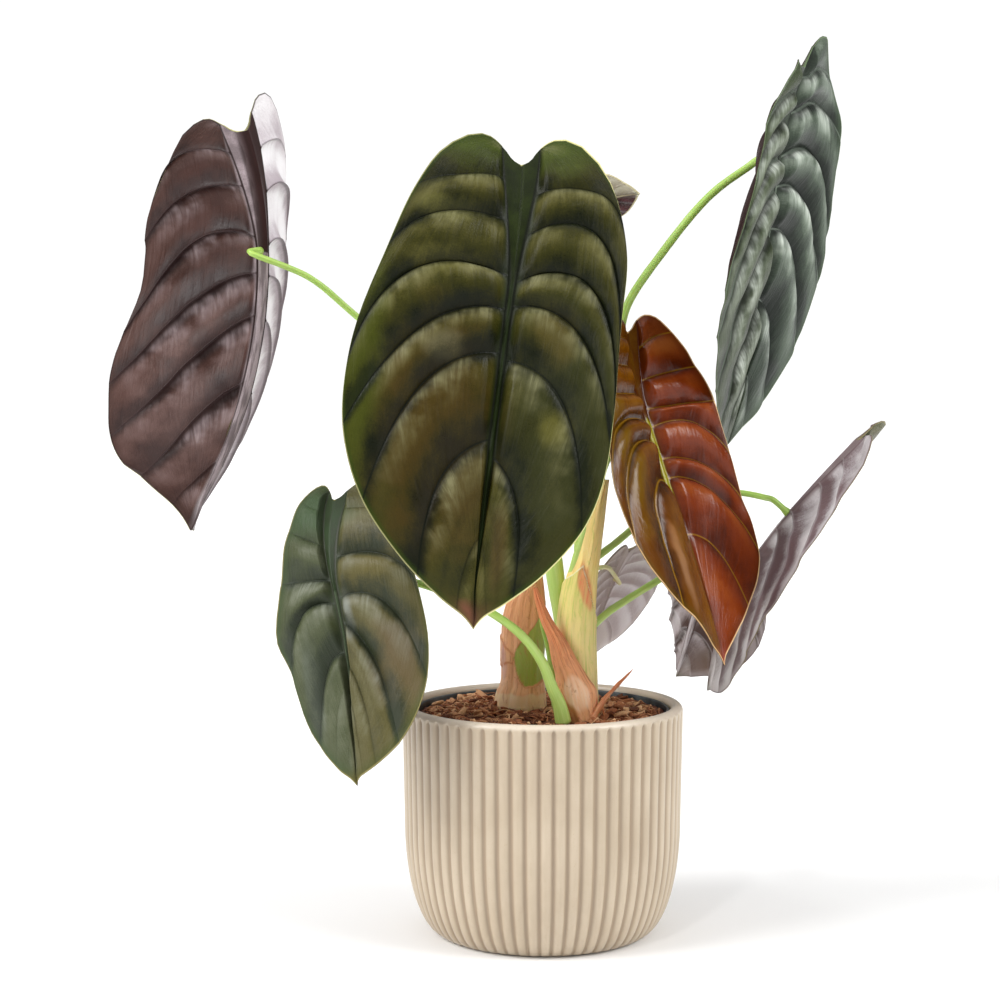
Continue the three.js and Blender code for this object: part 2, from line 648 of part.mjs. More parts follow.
const STALK_RADII = {
  front_leaf: [1.6, 2.4, 4.3, 4.6, 3.2, 2.3, 2, 2, 2, 2, 2],
  upper_left_leaf: [2.2, 1.5],
  lower_left_leaf: [3.9, 3, 2.5, 2.2, 2, 1.9, 1.8, 1.8, 1.8, 1.8, 1.8],
  front_right_leaf: [1.7, 1.6],
  upper_right_leaf: [2.3, 1.9],
  right_leaf: [1.8, 1.5],
  lower_right_leaf: [1.9, 1.6],
  rear_leaf: [1.2, 1],
  top_rear_leaf: [1.5, 1.1],
};
// A short blade takes its stalk in more closely
const SHORT_BLADE = 68;

addPart('ceramic_pot', ceramicPot(), 'ceramic');
addPart('nursery_pot', nurseryPot(), 'liner');

// Stations of the stems: centre x, y, z, then half width and half depth
const LEFT_STEM = [
  [-10, 8, 88, 9, 8], [-10.6, 8, 108, 12, 11], [-10.8, 8, 113, 12.2, 11],
  [-10.4, 8, 118, 11.6, 10.4], [-9.8, 8, 124, 10.2, 9.4], [-9.4, 8, 140, 10.6, 9],
  [-9, 8, 156, 10.3, 7.8], [-7, 9, 170, 7.6, 5.6], [-5.5, 11, 184, 3.8, 3.6],
];
const RIGHT_STEM = [
  [19.4, -18, 88, 7.5, 7], [18.5, -18, 108, 8.4, 8], [17.2, -18, 122, 8.8, 8.4],
  [16.2, -18, 140, 9.2, 8.4], [16.1, -18, 153, 9.2, 8.2], [17.9, -18, 173, 8.2, 7.2],
  [21.7, -18, 191, 6.3, 5.4], [25.9, -18, 213, 4.2, 3.6], [29.6, -17.5, 226, 2.2, 2],
];
const FRONT_SHEATH = [
  [21, -29.5, 96, 4.5, 4], [18.8, -30, 110, 7, 4.8], [16.6, -30, 118.5, 9.2, 5.4],
  [15.2, -30, 125, 9.8, 5.4], [13.4, -30, 131, 7.7, 5], [10, -30, 139.5, 6, 4.2],
  [6.4, -29, 149, 4.1, 3], [1.4, -27.5, 158.5, 2.7, 1.8], [-2.2, -26, 168, 1.6, 1.1],
  [-4, -25, 174, 0.7, 0.7],
];
const SPIKE = [[21.5, -34.6, 99], [23, -34.5, 109], [28.3, -32, 119], [36, -28, 127],
  [43.7, -23, 134]];
const SPIKE_RADII = [1.9, 1.6, 1.2, 0.8];
const THORN = [[27.6, -32.4, 118.5], [29, -32, 112.5]];
const SHOOT = [[7, -7, 98], [6.5, -7, 115], [5.2, -7, 127], [3.4, -7, 138], [0.8, -6.4, 148],
  [-1.5, -5.5, 156]];
const SHOOT_RADII = [2.3, 2.2, 1.9, 1.4, 0.6];

// The same stations with room around and below, for the hole a stem stands in
function widened(stations) {
  return stations.map(([x, y, z, wide, deep], i) => [
    x, y, i === 0 ? z - CLEARANCE : z, wide + CLEARANCE, deep + CLEARANCE,
  ]);
}

const MATERIAL_OF = {
  front_leaf: 'bladeOlive',
  upper_left_leaf: 'bladeWine',
  lower_left_leaf: 'bladeGrey',
  front_right_leaf: 'bladeCopper',
  upper_right_leaf: 'bladeGrey',
  right_leaf: 'bladeSilver',
  lower_right_leaf: 'bladeSilver',
  rear_leaf: 'bladeSilver',
  top_rear_leaf: 'bladeWine',
};
const roomy = (radii) => radii.map((radius) => radius + CLEARANCE);
const stalkHoles = [];
for (const [name, blade] of Object.entries(BLADES)) {
  addPart(name, blade.solid(), MATERIAL_OF[name]);
  const points = STALKS[name].map((p) => new Vector3(...p));
  const last = blade.socket(blade.tipLength < SHORT_BLADE ? 3 : 9);
  points.push(last, blade.socket(CLEARANCE + 0.1));
  addPart(`${name}_stalk`, tube(points, STALK_RADII[name]), 'stalk');
  const lower = points[0].clone().sub(points[1]).setLength(CLEARANCE).add(points[0]);
  stalkHoles.push(tube([lower, ...points.slice(1)], roomy(STALK_RADII[name])));
}

const carve = (body, holes) => holes.reduce((rest, hole) => rest.subtract(hole), body);
const vectors = (points) => points.map((p) => new Vector3(...p));
const leftHole = ovalStem(widened(LEFT_STEM));
const rightHole = ovalStem(widened(RIGHT_STEM));
const spikeHole = tube(vectors(SPIKE), roomy(SPIKE_RADII), 6, 8);
const shootHole = tube(vectors(SHOOT), roomy(SHOOT_RADII), 6, 8);
const sheathHole = ovalStem(widened(FRONT_SHEATH), 12);
addPart('left_stem', carve(ovalStem(LEFT_STEM), [...stalkHoles, shootHole]), 'sheathBrown');
addPart('right_stem', carve(ovalStem(RIGHT_STEM), [...stalkHoles, shootHole]), 'sheathPale');
const sheath = carve(ovalStem(FRONT_SHEATH, 12), [rightHole, spikeHole, ...stalkHoles]);
addPart('front_sheath', sheath, 'sheathBrown');
const spike = tube(vectors(SPIKE), SPIKE_RADII, 6, 8);
addPart('dry_spike', spike.add(tube(vectors(THORN), [0.9, 0.5], 6, 2)), 'drySpike');
addPart('slim_shoot', carve(tube(vectors(SHOOT), SHOOT_RADII, 6, 8), stalkHoles), 'stalk');
const mixHoles = [leftHole, rightHole, sheathHole, spikeHole, shootHole, ...stalkHoles];
addPart('potting_mix', pottingMix(mixHoles), 'mix');

export default group;
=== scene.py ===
import math

import bpy
import numpy as np
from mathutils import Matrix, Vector


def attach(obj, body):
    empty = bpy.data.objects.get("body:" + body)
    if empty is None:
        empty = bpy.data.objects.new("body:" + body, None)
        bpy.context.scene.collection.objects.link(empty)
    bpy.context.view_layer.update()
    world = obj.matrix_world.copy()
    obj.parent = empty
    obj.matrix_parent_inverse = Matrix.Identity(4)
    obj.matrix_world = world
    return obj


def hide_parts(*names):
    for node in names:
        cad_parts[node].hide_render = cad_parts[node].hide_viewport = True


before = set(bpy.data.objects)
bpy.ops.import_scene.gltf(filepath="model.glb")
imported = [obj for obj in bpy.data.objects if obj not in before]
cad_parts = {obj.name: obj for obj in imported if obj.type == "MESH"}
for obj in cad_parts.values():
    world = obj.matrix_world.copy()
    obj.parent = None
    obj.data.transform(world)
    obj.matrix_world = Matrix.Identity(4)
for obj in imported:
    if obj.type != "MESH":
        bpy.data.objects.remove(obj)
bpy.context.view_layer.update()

MM = 0.001
scene = bpy.context.scene


# Camera
camera_data = bpy.data.cameras.new("camera")
camera_data.lens = 69.86
camera_data.sensor_width = 36
camera_data.clip_end = 60
camera = bpy.data.objects.new("camera", camera_data)
camera.location = (-0.0212, -0.962, 0.269)
camera.rotation_euler = (math.radians(90) - 0.056, 0, 0)
scene.collection.objects.link(camera)
scene.camera = camera


# Helpers
def smoothstep(low, high, value):
    share = np.clip((np.asarray(value, float) - low) / (high - low), 0, 1)
    return share * share * (3 - 2 * share)


def lerp(a, b, share):
    return a + (b - a) * share


def catmull(values, at):
    """Catmull-Rom through a list of numbers, its ends held."""
    values = np.asarray(values, float)
    at = np.asarray(at, float)
    i = np.clip(np.floor(at).astype(int), 0, len(values) - 2)
    f = at - i
    a, b, c, d = (values[np.clip(i + k, 0, len(values) - 1)] for k in (-1, 0, 1, 2))
    return 0.5 * (
        2 * b + (c - a) * f
        + (2 * a - 5 * b + 4 * c - d) * f**2
        + (3 * b - a - 3 * c + d) * f**3
    )


def angles(count):
    return np.arange(count) * 2 * math.pi / count


def ring(radius, angle, z):
    """Level points around the Z axis."""
    return np.stack([radius * np.cos(angle), radius * np.sin(angle), np.full(len(angle), z)], -1)


class Bumps:
    """Smooth seeded noise: a sum of sine waves in random directions, about -1 to 1."""

    def __init__(self, seed, waves=7):
        random = np.random.default_rng(seed)
        direction = random.normal(size=(waves, 3))
        direction /= np.linalg.norm(direction, axis=1, keepdims=True)
        self.direction = direction * random.uniform(0.6, 1.7, (waves, 1))
        self.phase = random.uniform(0, 2 * math.pi, waves)

    def __call__(self, points, length):
        angle = points @ self.direction.T * (2 * math.pi / length) + self.phase
        return np.sin(angle).sum(-1) / math.sqrt(len(self.phase) * 1.6)


def mesh_piece(name, points, faces, attributes=None):
    """A smooth mesh object from points in millimetres, faces as lists, and named point values."""
    mesh = bpy.data.meshes.new(name)
    points = np.asarray(points, float) * MM
    mesh.from_pydata(points.tolist(), [], [list(face) for face in faces])
    mesh.polygons.foreach_set("use_smooth", [True] * len(mesh.polygons))
    for key, values in (attributes or {}).items():
        values = np.asarray(values, np.float32)
        kind, field = ("FLOAT_VECTOR", "vector") if values.ndim == 2 else ("FLOAT", "value")
        mesh.attributes.new(key, kind, "POINT").data.foreach_set(field, values.ravel())
    mesh.update()
    piece = bpy.data.objects.new(name, mesh)
    scene.collection.objects.link(piece)
    return piece


def grid_faces(rows, columns, flip=False):
    """Quads of a grid of points stored row by row, its last column joined to the first."""
    i, j = np.meshgrid(np.arange(rows - 1), np.arange(columns), indexing="ij")
    here, after = i * columns + j, i * columns + (j + 1) % columns
    quads = np.stack([here, after, after + columns, here + columns], -1).reshape(-1, 4)
    return quads[:, ::-1] if flip else quads


def tube_faces(rows, columns):
    """Faces of stacked rings, with a flat cap on each end."""
    last = (rows - 1) * columns
    caps = [list(range(columns))[::-1], [last + k for k in range(columns)]]
    return grid_faces(rows, columns).tolist() + caps


class Parts:
    """Collects several grids into one mesh, with one value of each attribute a point."""

    def __init__(self):
        self.points = []
        self.faces = []
        self.values = {}
        self.count = 0

    def add(self, points, faces, **values):
        points = np.asarray(points, float).reshape(-1, 3)
        self.faces.extend((np.asarray(face) + self.count).tolist() for face in faces)
        self.points.append(points)
        self.count += len(points)
        for key, value in values.items():
            self.values.setdefault(key, []).append(np.broadcast_to(value, len(points)))

    def piece(self, name):
        values = {key: np.concatenate(lists) for key, lists in self.values.items()}
        return mesh_piece(name, np.concatenate(self.points), self.faces, values)


# Materials
def tone(red, green, blue):
    """A display colour, 0 to 255, as the linear colour that a shader takes."""
    linear = []
    for part in (red, green, blue):
        part /= 255
        linear.append(part / 12.92 if part <= 0.04045 else ((part + 0.055) / 1.055) ** 2.4)
    return (*linear, 1)


class Field:
    """An output in a node tree, for use in sums and products."""

    def __init__(self, nodes, socket):
        self.nodes = nodes
        self.socket = socket

    def __add__(self, other):
        return self.nodes.math("ADD", self, other)

    def __sub__(self, other):
        return self.nodes.math("SUBTRACT", self, other)

    def __rsub__(self, other):
        return self.nodes.math("SUBTRACT", other, self)

    def __mul__(self, other):
        return self.nodes.math("MULTIPLY", self, other)


class Nodes:
    """A node tree written as small expressions."""

    def __init__(self, tree):
        self.tree = tree

    def feed(self, socket, value):
        if isinstance(value, Field):
            self.tree.links.new(value.socket, socket)
        else:
            socket.default_value = value

    def read(self, kind, output, inputs=None, **settings):
        """Adds a node and returns one of its outputs."""
        node = self.tree.nodes.new("ShaderNode" + kind)
        for key, value in settings.items():
            setattr(node, key, value)
        for key, value in (inputs or {}).items():
            self.feed(node.inputs[key], value)
        return Field(self, node.outputs[output])

    def math(self, operation, a, b=0.0):
        return self.read("Math", 0, {0: a, 1: b}, operation=operation)

    def span(self, value, low, high, start=0.0, end=1.0):
        """Runs smoothly from start at low to end at high."""
        inputs = {"Value": value, "From Min": low, "From Max": high, "To Min": start, "To Max": end}
        return self.read("MapRange", "Result", inputs, interpolation_type="SMOOTHSTEP")

    def mix(self, share, a, b):
        """Runs from a to b, which are fields or display colours, 0 to 255."""
        a, b = (tone(*side) if isinstance(side, tuple) else side for side in (a, b))
        return self.read("Mix", 2, {0: share, 6: a, 7: b}, data_type="RGBA")

    def layered(self, colour, *layers):
        """Lays tones over a colour, each (field, low, high, share, tone)."""
        for field, low, high, share, other in layers:
            colour = self.mix(self.span(field, low, high, 0.0, share), colour, other)
        return colour

    def vector(self, x, y, z=0.0):
        return self.read("CombineXYZ", 0, {0: x, 1: y, 2: z})

    def scaled(self, vector, by):
        return self.read("VectorMath", 0, {0: vector, 1: by}, operation="MULTIPLY")

    def noise(self, vector, scale, detail, roughness, distortion=0.0):
        inputs = {"Vector": vector, "Scale": scale, "Detail": detail, "Roughness": roughness,
                  "Distortion": distortion}
        return self.read("TexNoise", "Fac", inputs)

    def bump(self, height, distance, strength, normal=None):
        """Height runs 0 to 1; distance is its full height in millimetres."""
        inputs = {"Height": height, "Distance": distance * MM, "Strength": strength}
        if normal is not None:
            inputs["Normal"] = normal
        return self.read("Bump", "Normal", inputs)


class Paint(Nodes):
    """A material; plain numbers for its shader are given by name."""

    def __init__(self, name, **plain):
        self.material = bpy.data.materials.new(name)
        self.material.use_nodes = True
        super().__init__(self.material.node_tree)
        self.inputs = self.tree.nodes["Principled BSDF"].inputs
        for key, value in plain.items():
            self.inputs[key.replace("_", " ")].default_value = value

    def value(self, name, output="Fac"):
        return self.read("Attribute", output, attribute_name=name)

    def place(self):
        return self.read("TexCoord", "Object")

    def finish(self, colour, roughness, normal=None):
        self.feed(self.inputs["Base Color"], colour)
        self.feed(self.inputs["Roughness"], roughness)
        if normal is not None:
            self.feed(self.inputs["Normal"], normal)
        return self.material


def dress(piece, material, node):
    piece.data.materials.append(material)
    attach(piece, "root")
    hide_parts(node)


# Blades
OUTLINE = np.array([
    [0, 1], [0.07, 1.04], [0.15, 1.15], [0.28, 1.22], [0.46, 1.15], [0.66, 0.93],
    [0.83, 0.6], [0.94, 0.25], [0.99, -0.08], [1, -0.3], [0.95, -0.5], [0.8, -0.68],
    [0.55, -0.82], [0.28, -0.915], [0.09, -0.965], [0, -1],
])
EDGE_ENDS = [2, 4.6, 6.9, 8.2, 9.4, 10.7, 12.2, 13.5, 15]
# Side veins: where each leaves the rib, where it meets the outline, how far it bows outwards
# and towards the tip, and how deep it lies. The first and last row of each list are the same on
# every blade, and so are the ends of its edge
ROW_ENDS = dict(root=(1, -1), end=(2, 15), out=(0.62, 0.62), lean=(0.1, 0.1), depth=(1, 1))
VEINS = dict(
    root=[0.68, 0.42, 0.05, -0.08, -0.22, -0.46, -0.73],
    end=[6, 7.6, 9.1, 9.9, 11.1, 12.5, 13.6],
    out=[0.65, 0.7, 0.75, 0.65, 0.7, 0.8, 0.6],
    lean=[-0.1, -0.3, -0.25, -0.05, 0.02, 0.15, 0.18],
    depth=[0.8, 1, 1, 1, 1, 1, 0.6],
)
HALF_CELL = [0, 0.018, 0.04, 0.075, 0.12, 0.18, 0.26, 0.37]
CELL = HALF_CELL + [0.5] + [1 - f for f in reversed(HALF_CELL[1:])]
# quilt is the relief in millimetres and crumple what roughens it. full swells a half below the stalk;
# fold, curl and open turn the halves up, and bend and side curve the middle line, in degrees, _up
# behind the stalk. hook moves the tip, and notch widens the lobes beside the sinus
BLADE_DEFAULTS = dict(
    lobe=0.22, full=(0, 0), edge=([0] * 7, [0] * 7), quilt=4.0, twist=0.0, seed=1,
    columns=36, veins=({}, {}), shoulder=0.1, edge_relief=0.12, crumple=0.0,
    hook=(0, 0), notch=1.0, open=(0, 0),
)
# Thickness at the rib, over most of a blade, and at its edge, in millimetres
KEEL = 2.1
THICK, THIN = 0.75, 0.45


def turn(axis, degrees):
    angle = math.radians(degrees)
    c, s = math.cos(angle), math.sin(angle)
    if axis == "x":
        return np.array([[1, 0, 0], [0, c, -s], [0, s, c]])
    return np.array([[c, -s, 0], [s, c, 0], [0, 0, 1]])


class Blade:
    """A shield-shaped blade, hung from the point where its stalk meets it. Pairs are (left, right)."""

    def __init__(self, **options):
        self.__dict__.update(BLADE_DEFAULTS)
        self.__dict__.update(options)
        self.rotation = turn("z", self.yaw) @ turn("x", 90 - self.pitch) @ turn("z", self.roll)
        self.edge = [(0, *side, 0) for side in self.edge]
        self.veins = [{key: (first, *{**VEINS, **own}[key], last) for key, (first, last) in ROW_ENDS.items()}
                      for own in self.veins]
        self.middle = np.mean([own["root"] for own in self.veins], axis=0)
        self.edge_rows = np.linspace(0, 8, 161)
        self.edge_ends = catmull(EDGE_ENDS, self.edge_rows)

    def along(self, v):
        return np.where(v > 0, v * self.lobe_length, v * self.tip_length)

    def outline(self, side, t):
        u = catmull(OUTLINE[:, 0], t)
        v = catmull(OUTLINE[:, 1], t)
        v = np.where(v > 1, 1 + (v - 1) * self.lobe / 0.22, v)
        u = u * np.where(v < 0, 1 + self.full[side] * np.sin(math.pi * np.clip(-v, 0, 1)), 1)
        u = u * lerp(self.notch, 1, smoothstep(1.5, 4, t))
        return u * self.width[side], self.along(v)

    def flat(self, side, row, share):
        """Flat place of a point: row 0 at the sinus to 8 at the tip, share -1 on the middle line,
        0 on the rib beside it and 1 on the edge."""
        sign = 1 if side else -1
        veins = self.veins[side]
        v = np.clip(catmull(veins["root"], row), -1, 1)
        middle = self.along(np.clip(catmull(self.middle, row), -1, 1))
        wide = lerp(1.2, 1.4 + 0.14 * self.width[side], np.maximum(v, 0) ** 1.2)
        blend = np.maximum(v, 0) ** 3
        top = self.outline(side, 2.0)
        wide = wide * np.clip(1 + v, 0, 1) ** 0.6
        rib = (lerp(wide, top[0], blend), lerp(self.along(v), top[1], blend))
        s = np.clip(share + 1, 0, 1)
        rim = self.outline(side, 2 * s)
        strip_x = rib[0] * s + (rim[0] - top[0] * s) * blend
        level = lerp(self.along(np.array(1.0)), top[1], s)
        strip_y = lerp(middle, rib[1], s) + (rim[1] - level) * blend
        t = np.clip(catmull(veins["end"], row), 2, 15)
        end = self.outline(side, t)
        end = (end[0] + catmull(self.edge[side], np.interp(t, self.edge_ends, self.edge_rows)), end[1])
        out, lean = catmull(veins["out"], row), catmull(veins["lean"], row)
        bow = (lerp(rib[0], end[0], out), lerp(rib[1], end[1], lean))
        q = np.clip(share, 0, 1)
        web = [(1 - q) ** 2 * rib[k] + 2 * q * (1 - q) * bow[k] + q * q * end[k] for k in (0, 1)]
        strip = share <= 0
        return sign * np.where(strip, strip_x, web[0]), np.where(strip, strip_y, web[1])

    def fade(self, row):
        return np.clip((8 - row) / 1.8, 0, 1)

    def depth(self, side, row):
        """How deep the nearest side vein lies."""
        return np.take(self.veins[side]["depth"], np.clip(np.round(row), 0, 8).astype(int))

    def pillow(self, side, row):
        """0 on a deep vein, 1 on the crest between veins, which lies nearer the upper vein."""
        cell = np.floor(row)
        warped = cell + (row - cell) ** 0.7
        return 1 - self.depth(side, warped) * (1 - np.abs(np.sin(math.pi * warped)) ** 0.75)

    def relief(self, side, row, share):
        """Pillows between the veins, which sink to the rib and level out towards the edge."""
        web = lerp(self.pillow(side, row) - 0.35, 0.25, (1 - self.edge_relief) * smoothstep(0.5, 1, share))
        rib = -0.35 * (1 + 0.5 * np.minimum(share, 0))
        raised = smoothstep(0, self.shoulder, share) * smoothstep(0, 0.8, row)
        return self.quilt * self.fade(row) * lerp(rib, web, raised)

    def shape(self, side, x, y, height):
        """Bends the flat blade: an arc along the middle line, a fold and a curl across each half."""
        x, y, height = np.broadcast_arrays(x, y, height)
        rad = math.pi / 180

        def run(at):
            r = np.where(at < 0, -at / self.tip_length, at / self.lobe_length)
            bend = np.where(at < 0, self.bend, -self.bend_up) * r * rad
            side_turn = np.where(at < 0, self.side, self.side_up) * r * rad
            s, c = np.sin(side_turn), np.cos(side_turn)
            forward = np.stack([-s * np.cos(bend), c * np.cos(bend), np.sin(bend)], -1)
            across = np.stack([c, s, np.zeros_like(r)], -1)
            return r, forward, across

        spine = sum(run(y * (i + 0.5) / 6)[1] for i in range(6)) * (y / 6)[..., None]
        reach, forward, across = run(y)
        up = np.cross(across, forward)
        twist = np.where(y < 0, self.twist * reach, -0.3 * self.twist * reach) * -rad
        c, s = np.cos(twist)[..., None], np.sin(twist)[..., None]
        across, up = across * c + np.cross(forward, across) * s, up * c + np.cross(forward, up) * s
        opening = np.where(y < 0, 1 - 3 * np.maximum(0, reach - 0.85), 1)
        lobe_share = smoothstep(0, 1, np.where(y > 0, reach, 0))
        fold = self.fold[side] * rad * opening - self.open[side] * rad * lobe_share
        curl = self.curl[side] * rad or 1e-4
        sign = 1 if side else -1
        width = self.width[side]
        angle = fold + curl * np.abs(x) / width
        out = width / curl * (np.sin(angle) - np.sin(fold)) - np.sin(angle) * height
        rise = width / curl * (np.cos(fold) - np.cos(angle)) + np.cos(angle) * height
        tip = np.where(y < 0, smoothstep(0.86, 1, reach), 0)
        out = sign * out + self.hook[0] * tip
        local = spine + across * out[..., None] + up * (rise + self.hook[1] * tip)[..., None]
        return local @ self.rotation.T + np.array(self.joint)

    def socket(self, distance):
        height = -0.175 * self.quilt - KEEL - distance
        return self.shape(1, np.array(1e-6), np.array(0.0), height)

    def piece(self, name):
        rows = np.unique(np.round([cell + f for cell in range(8) for f in CELL] + [8.0], 5))
        t = np.linspace(0, 1, self.columns + 1)
        shares = np.concatenate([np.linspace(-1, 0, 6)[:-1], t - 0.11 * np.sin(2 * math.pi * t)])
        row, share = (grid.astype(float) for grid in np.meshgrid(rows, shares, indexing="ij"))
        fade = self.fade(row)
        wobble = Bumps(self.seed, 9)
        parts = []
        for side in (0, 1):
            sign = 1 if side else -1
            x, y = self.flat(side, row, share)
            # Millimetres between neighbouring rows, for the distance to the nearest vein
            step = 1e-3
            xr, yr = self.flat(side, np.clip(row + step, 0, 8), share)
            xl, yl = self.flat(side, np.clip(row - step, 0, 8), share)
            xs, ys = self.flat(side, row, np.clip(share + step, 0, 1))
            xt, yt = self.flat(side, row, np.clip(share - step, 0, 1))
            across = np.hypot(xs - xt, ys - yt) + 1e-9
            gap = np.abs((xr - xl) * (ys - yt) - (yr - yl) * (xs - xt)) / across / (2 * step)
            nearest = np.abs(row - np.round(row))
            vein = np.where(share > 0, gap * nearest, 9.0)
            vein = np.where((np.round(row) < 0.5) | (np.round(row) > 7.5), 9.0, vein)
            x0, y0 = self.flat(side, row, np.zeros_like(share))
            x1, y1 = self.flat(side, row, np.ones_like(share))
            rib = np.hypot(x - x0, y - y0) * np.where((share <= 0) & (y < 0), 0, 1)
            rim = np.hypot(x - x1, y - y1)
            sinus = np.hypot(x, np.maximum(self.lobe_length - y, 0))
            rim = np.where(share <= 0, sinus, np.minimum(rim, 99))
            rim = np.where((share <= 0) & (row < 1e-6), 0, rim)
            mark = self.depth(side, row)
            reach = np.maximum(-y / self.tip_length, 0)
            place = np.stack([x, y, np.full_like(x, 40.0 * side)], -1)
            small = wobble(place, 34) * 0.55 + wobble(place + 50, 15) * 0.22
            calm = smoothstep(0, 0.12, share) * fade
            height = self.relief(side, row, share) + small * calm
            crumple = wobble(place + 200, 26) + 0.25 * wobble(place + 250, 11)
            height += self.crumple * crumple * calm * (1 - 0.6 * smoothstep(0.7, 1, share))
            line = np.exp(-((vein / 0.55) ** 2)) * (1 - 0.75 * np.clip(share, 0, 1)) * fade * mark
            behind = np.clip(1 - y / self.lobe_length, 0.15, 1)
            ridge = np.exp(-((rib / 0.8) ** 2)) * np.where(y < 0, 1, behind)
            for under in (0, 1):
                if under:
                    thick = lerp(THICK, THIN, smoothstep(0.9, 1, share))
                    keel = np.where(share < 0, -share, 0) * fade
                    drop = lerp(thick, KEEL, keel) + 0.55 * line + 0.5 * ridge * fade * (share >= 0)
                    level = height - drop
                else:
                    level = height + 0.18 * line
                points = self.shape(side, np.where(share <= -1, sign * 1e-6, x), y, level)
                parts.append(dict(
                    points=points, side=side, under=under, vein=vein, rib=rib, rim=rim,
                    reach=reach, place=place / 10, row=row, share=share, mark=mark, keel=np.abs(x),
                ))
        return self.join(name, parts, rows, shares)

    def join(self, name, parts, rows, shares):
        """Merges the four grids of a blade, left and right, top and under, into one closed skin."""
        names = ("vein", "rib", "rim", "reach", "place", "row", "share", "mark", "keel")
        index, points, values = {}, [], {key: [] for key in (*names, "under")}
        tables = []
        for part in parts:
            place = np.round(part["place"][..., :2] * 2000).astype(np.int64)
            place[..., 0] = np.where(part["share"] <= -1, 0, place[..., 0])
            table = np.zeros(part["row"].shape, np.int64)
            for i in range(len(rows)):
                for j in range(len(shares)):
                    key = (place[i, j, 0], place[i, j, 1], part["under"])
                    if key not in index:
                        index[key] = len(points)
                        points.append(part["points"][i, j])
                        for value in names:
                            values[value].append(part[value][i, j])
                        values["under"].append(part["under"])
                    table[i, j] = index[key]
            tables.append(table)
        faces = []

        def face(corners, flip):
            kept = [c for k, c in enumerate(corners) if c != corners[k - 1]]
            if len(kept) > 2 and len(set(kept)) == len(kept):
                faces.append(kept[::-1] if flip else kept)

        zero = list(shares).index(0)
        for table, part in zip(tables, parts):
            flip = (part["side"] == 0) != bool(part["under"])
            for i in range(len(rows) - 1):
                for j in range(len(shares) - 1):
                    face([table[i, j], table[i + 1, j], table[i + 1, j + 1], table[i, j + 1]], flip)
        for side in (0, 1):
            over, below = tables[2 * side], tables[2 * side + 1]
            border = [(0, j) for j in range(zero + 1)] + [(i, len(shares) - 1) for i in range(1, len(rows))]
            for (ia, ja), (ib, jb) in zip(border, border[1:]):
                face([over[ia, ja], below[ia, ja], below[ib, jb], over[ib, jb]], side == 0)
        return mesh_piece(name, points, faces, values)


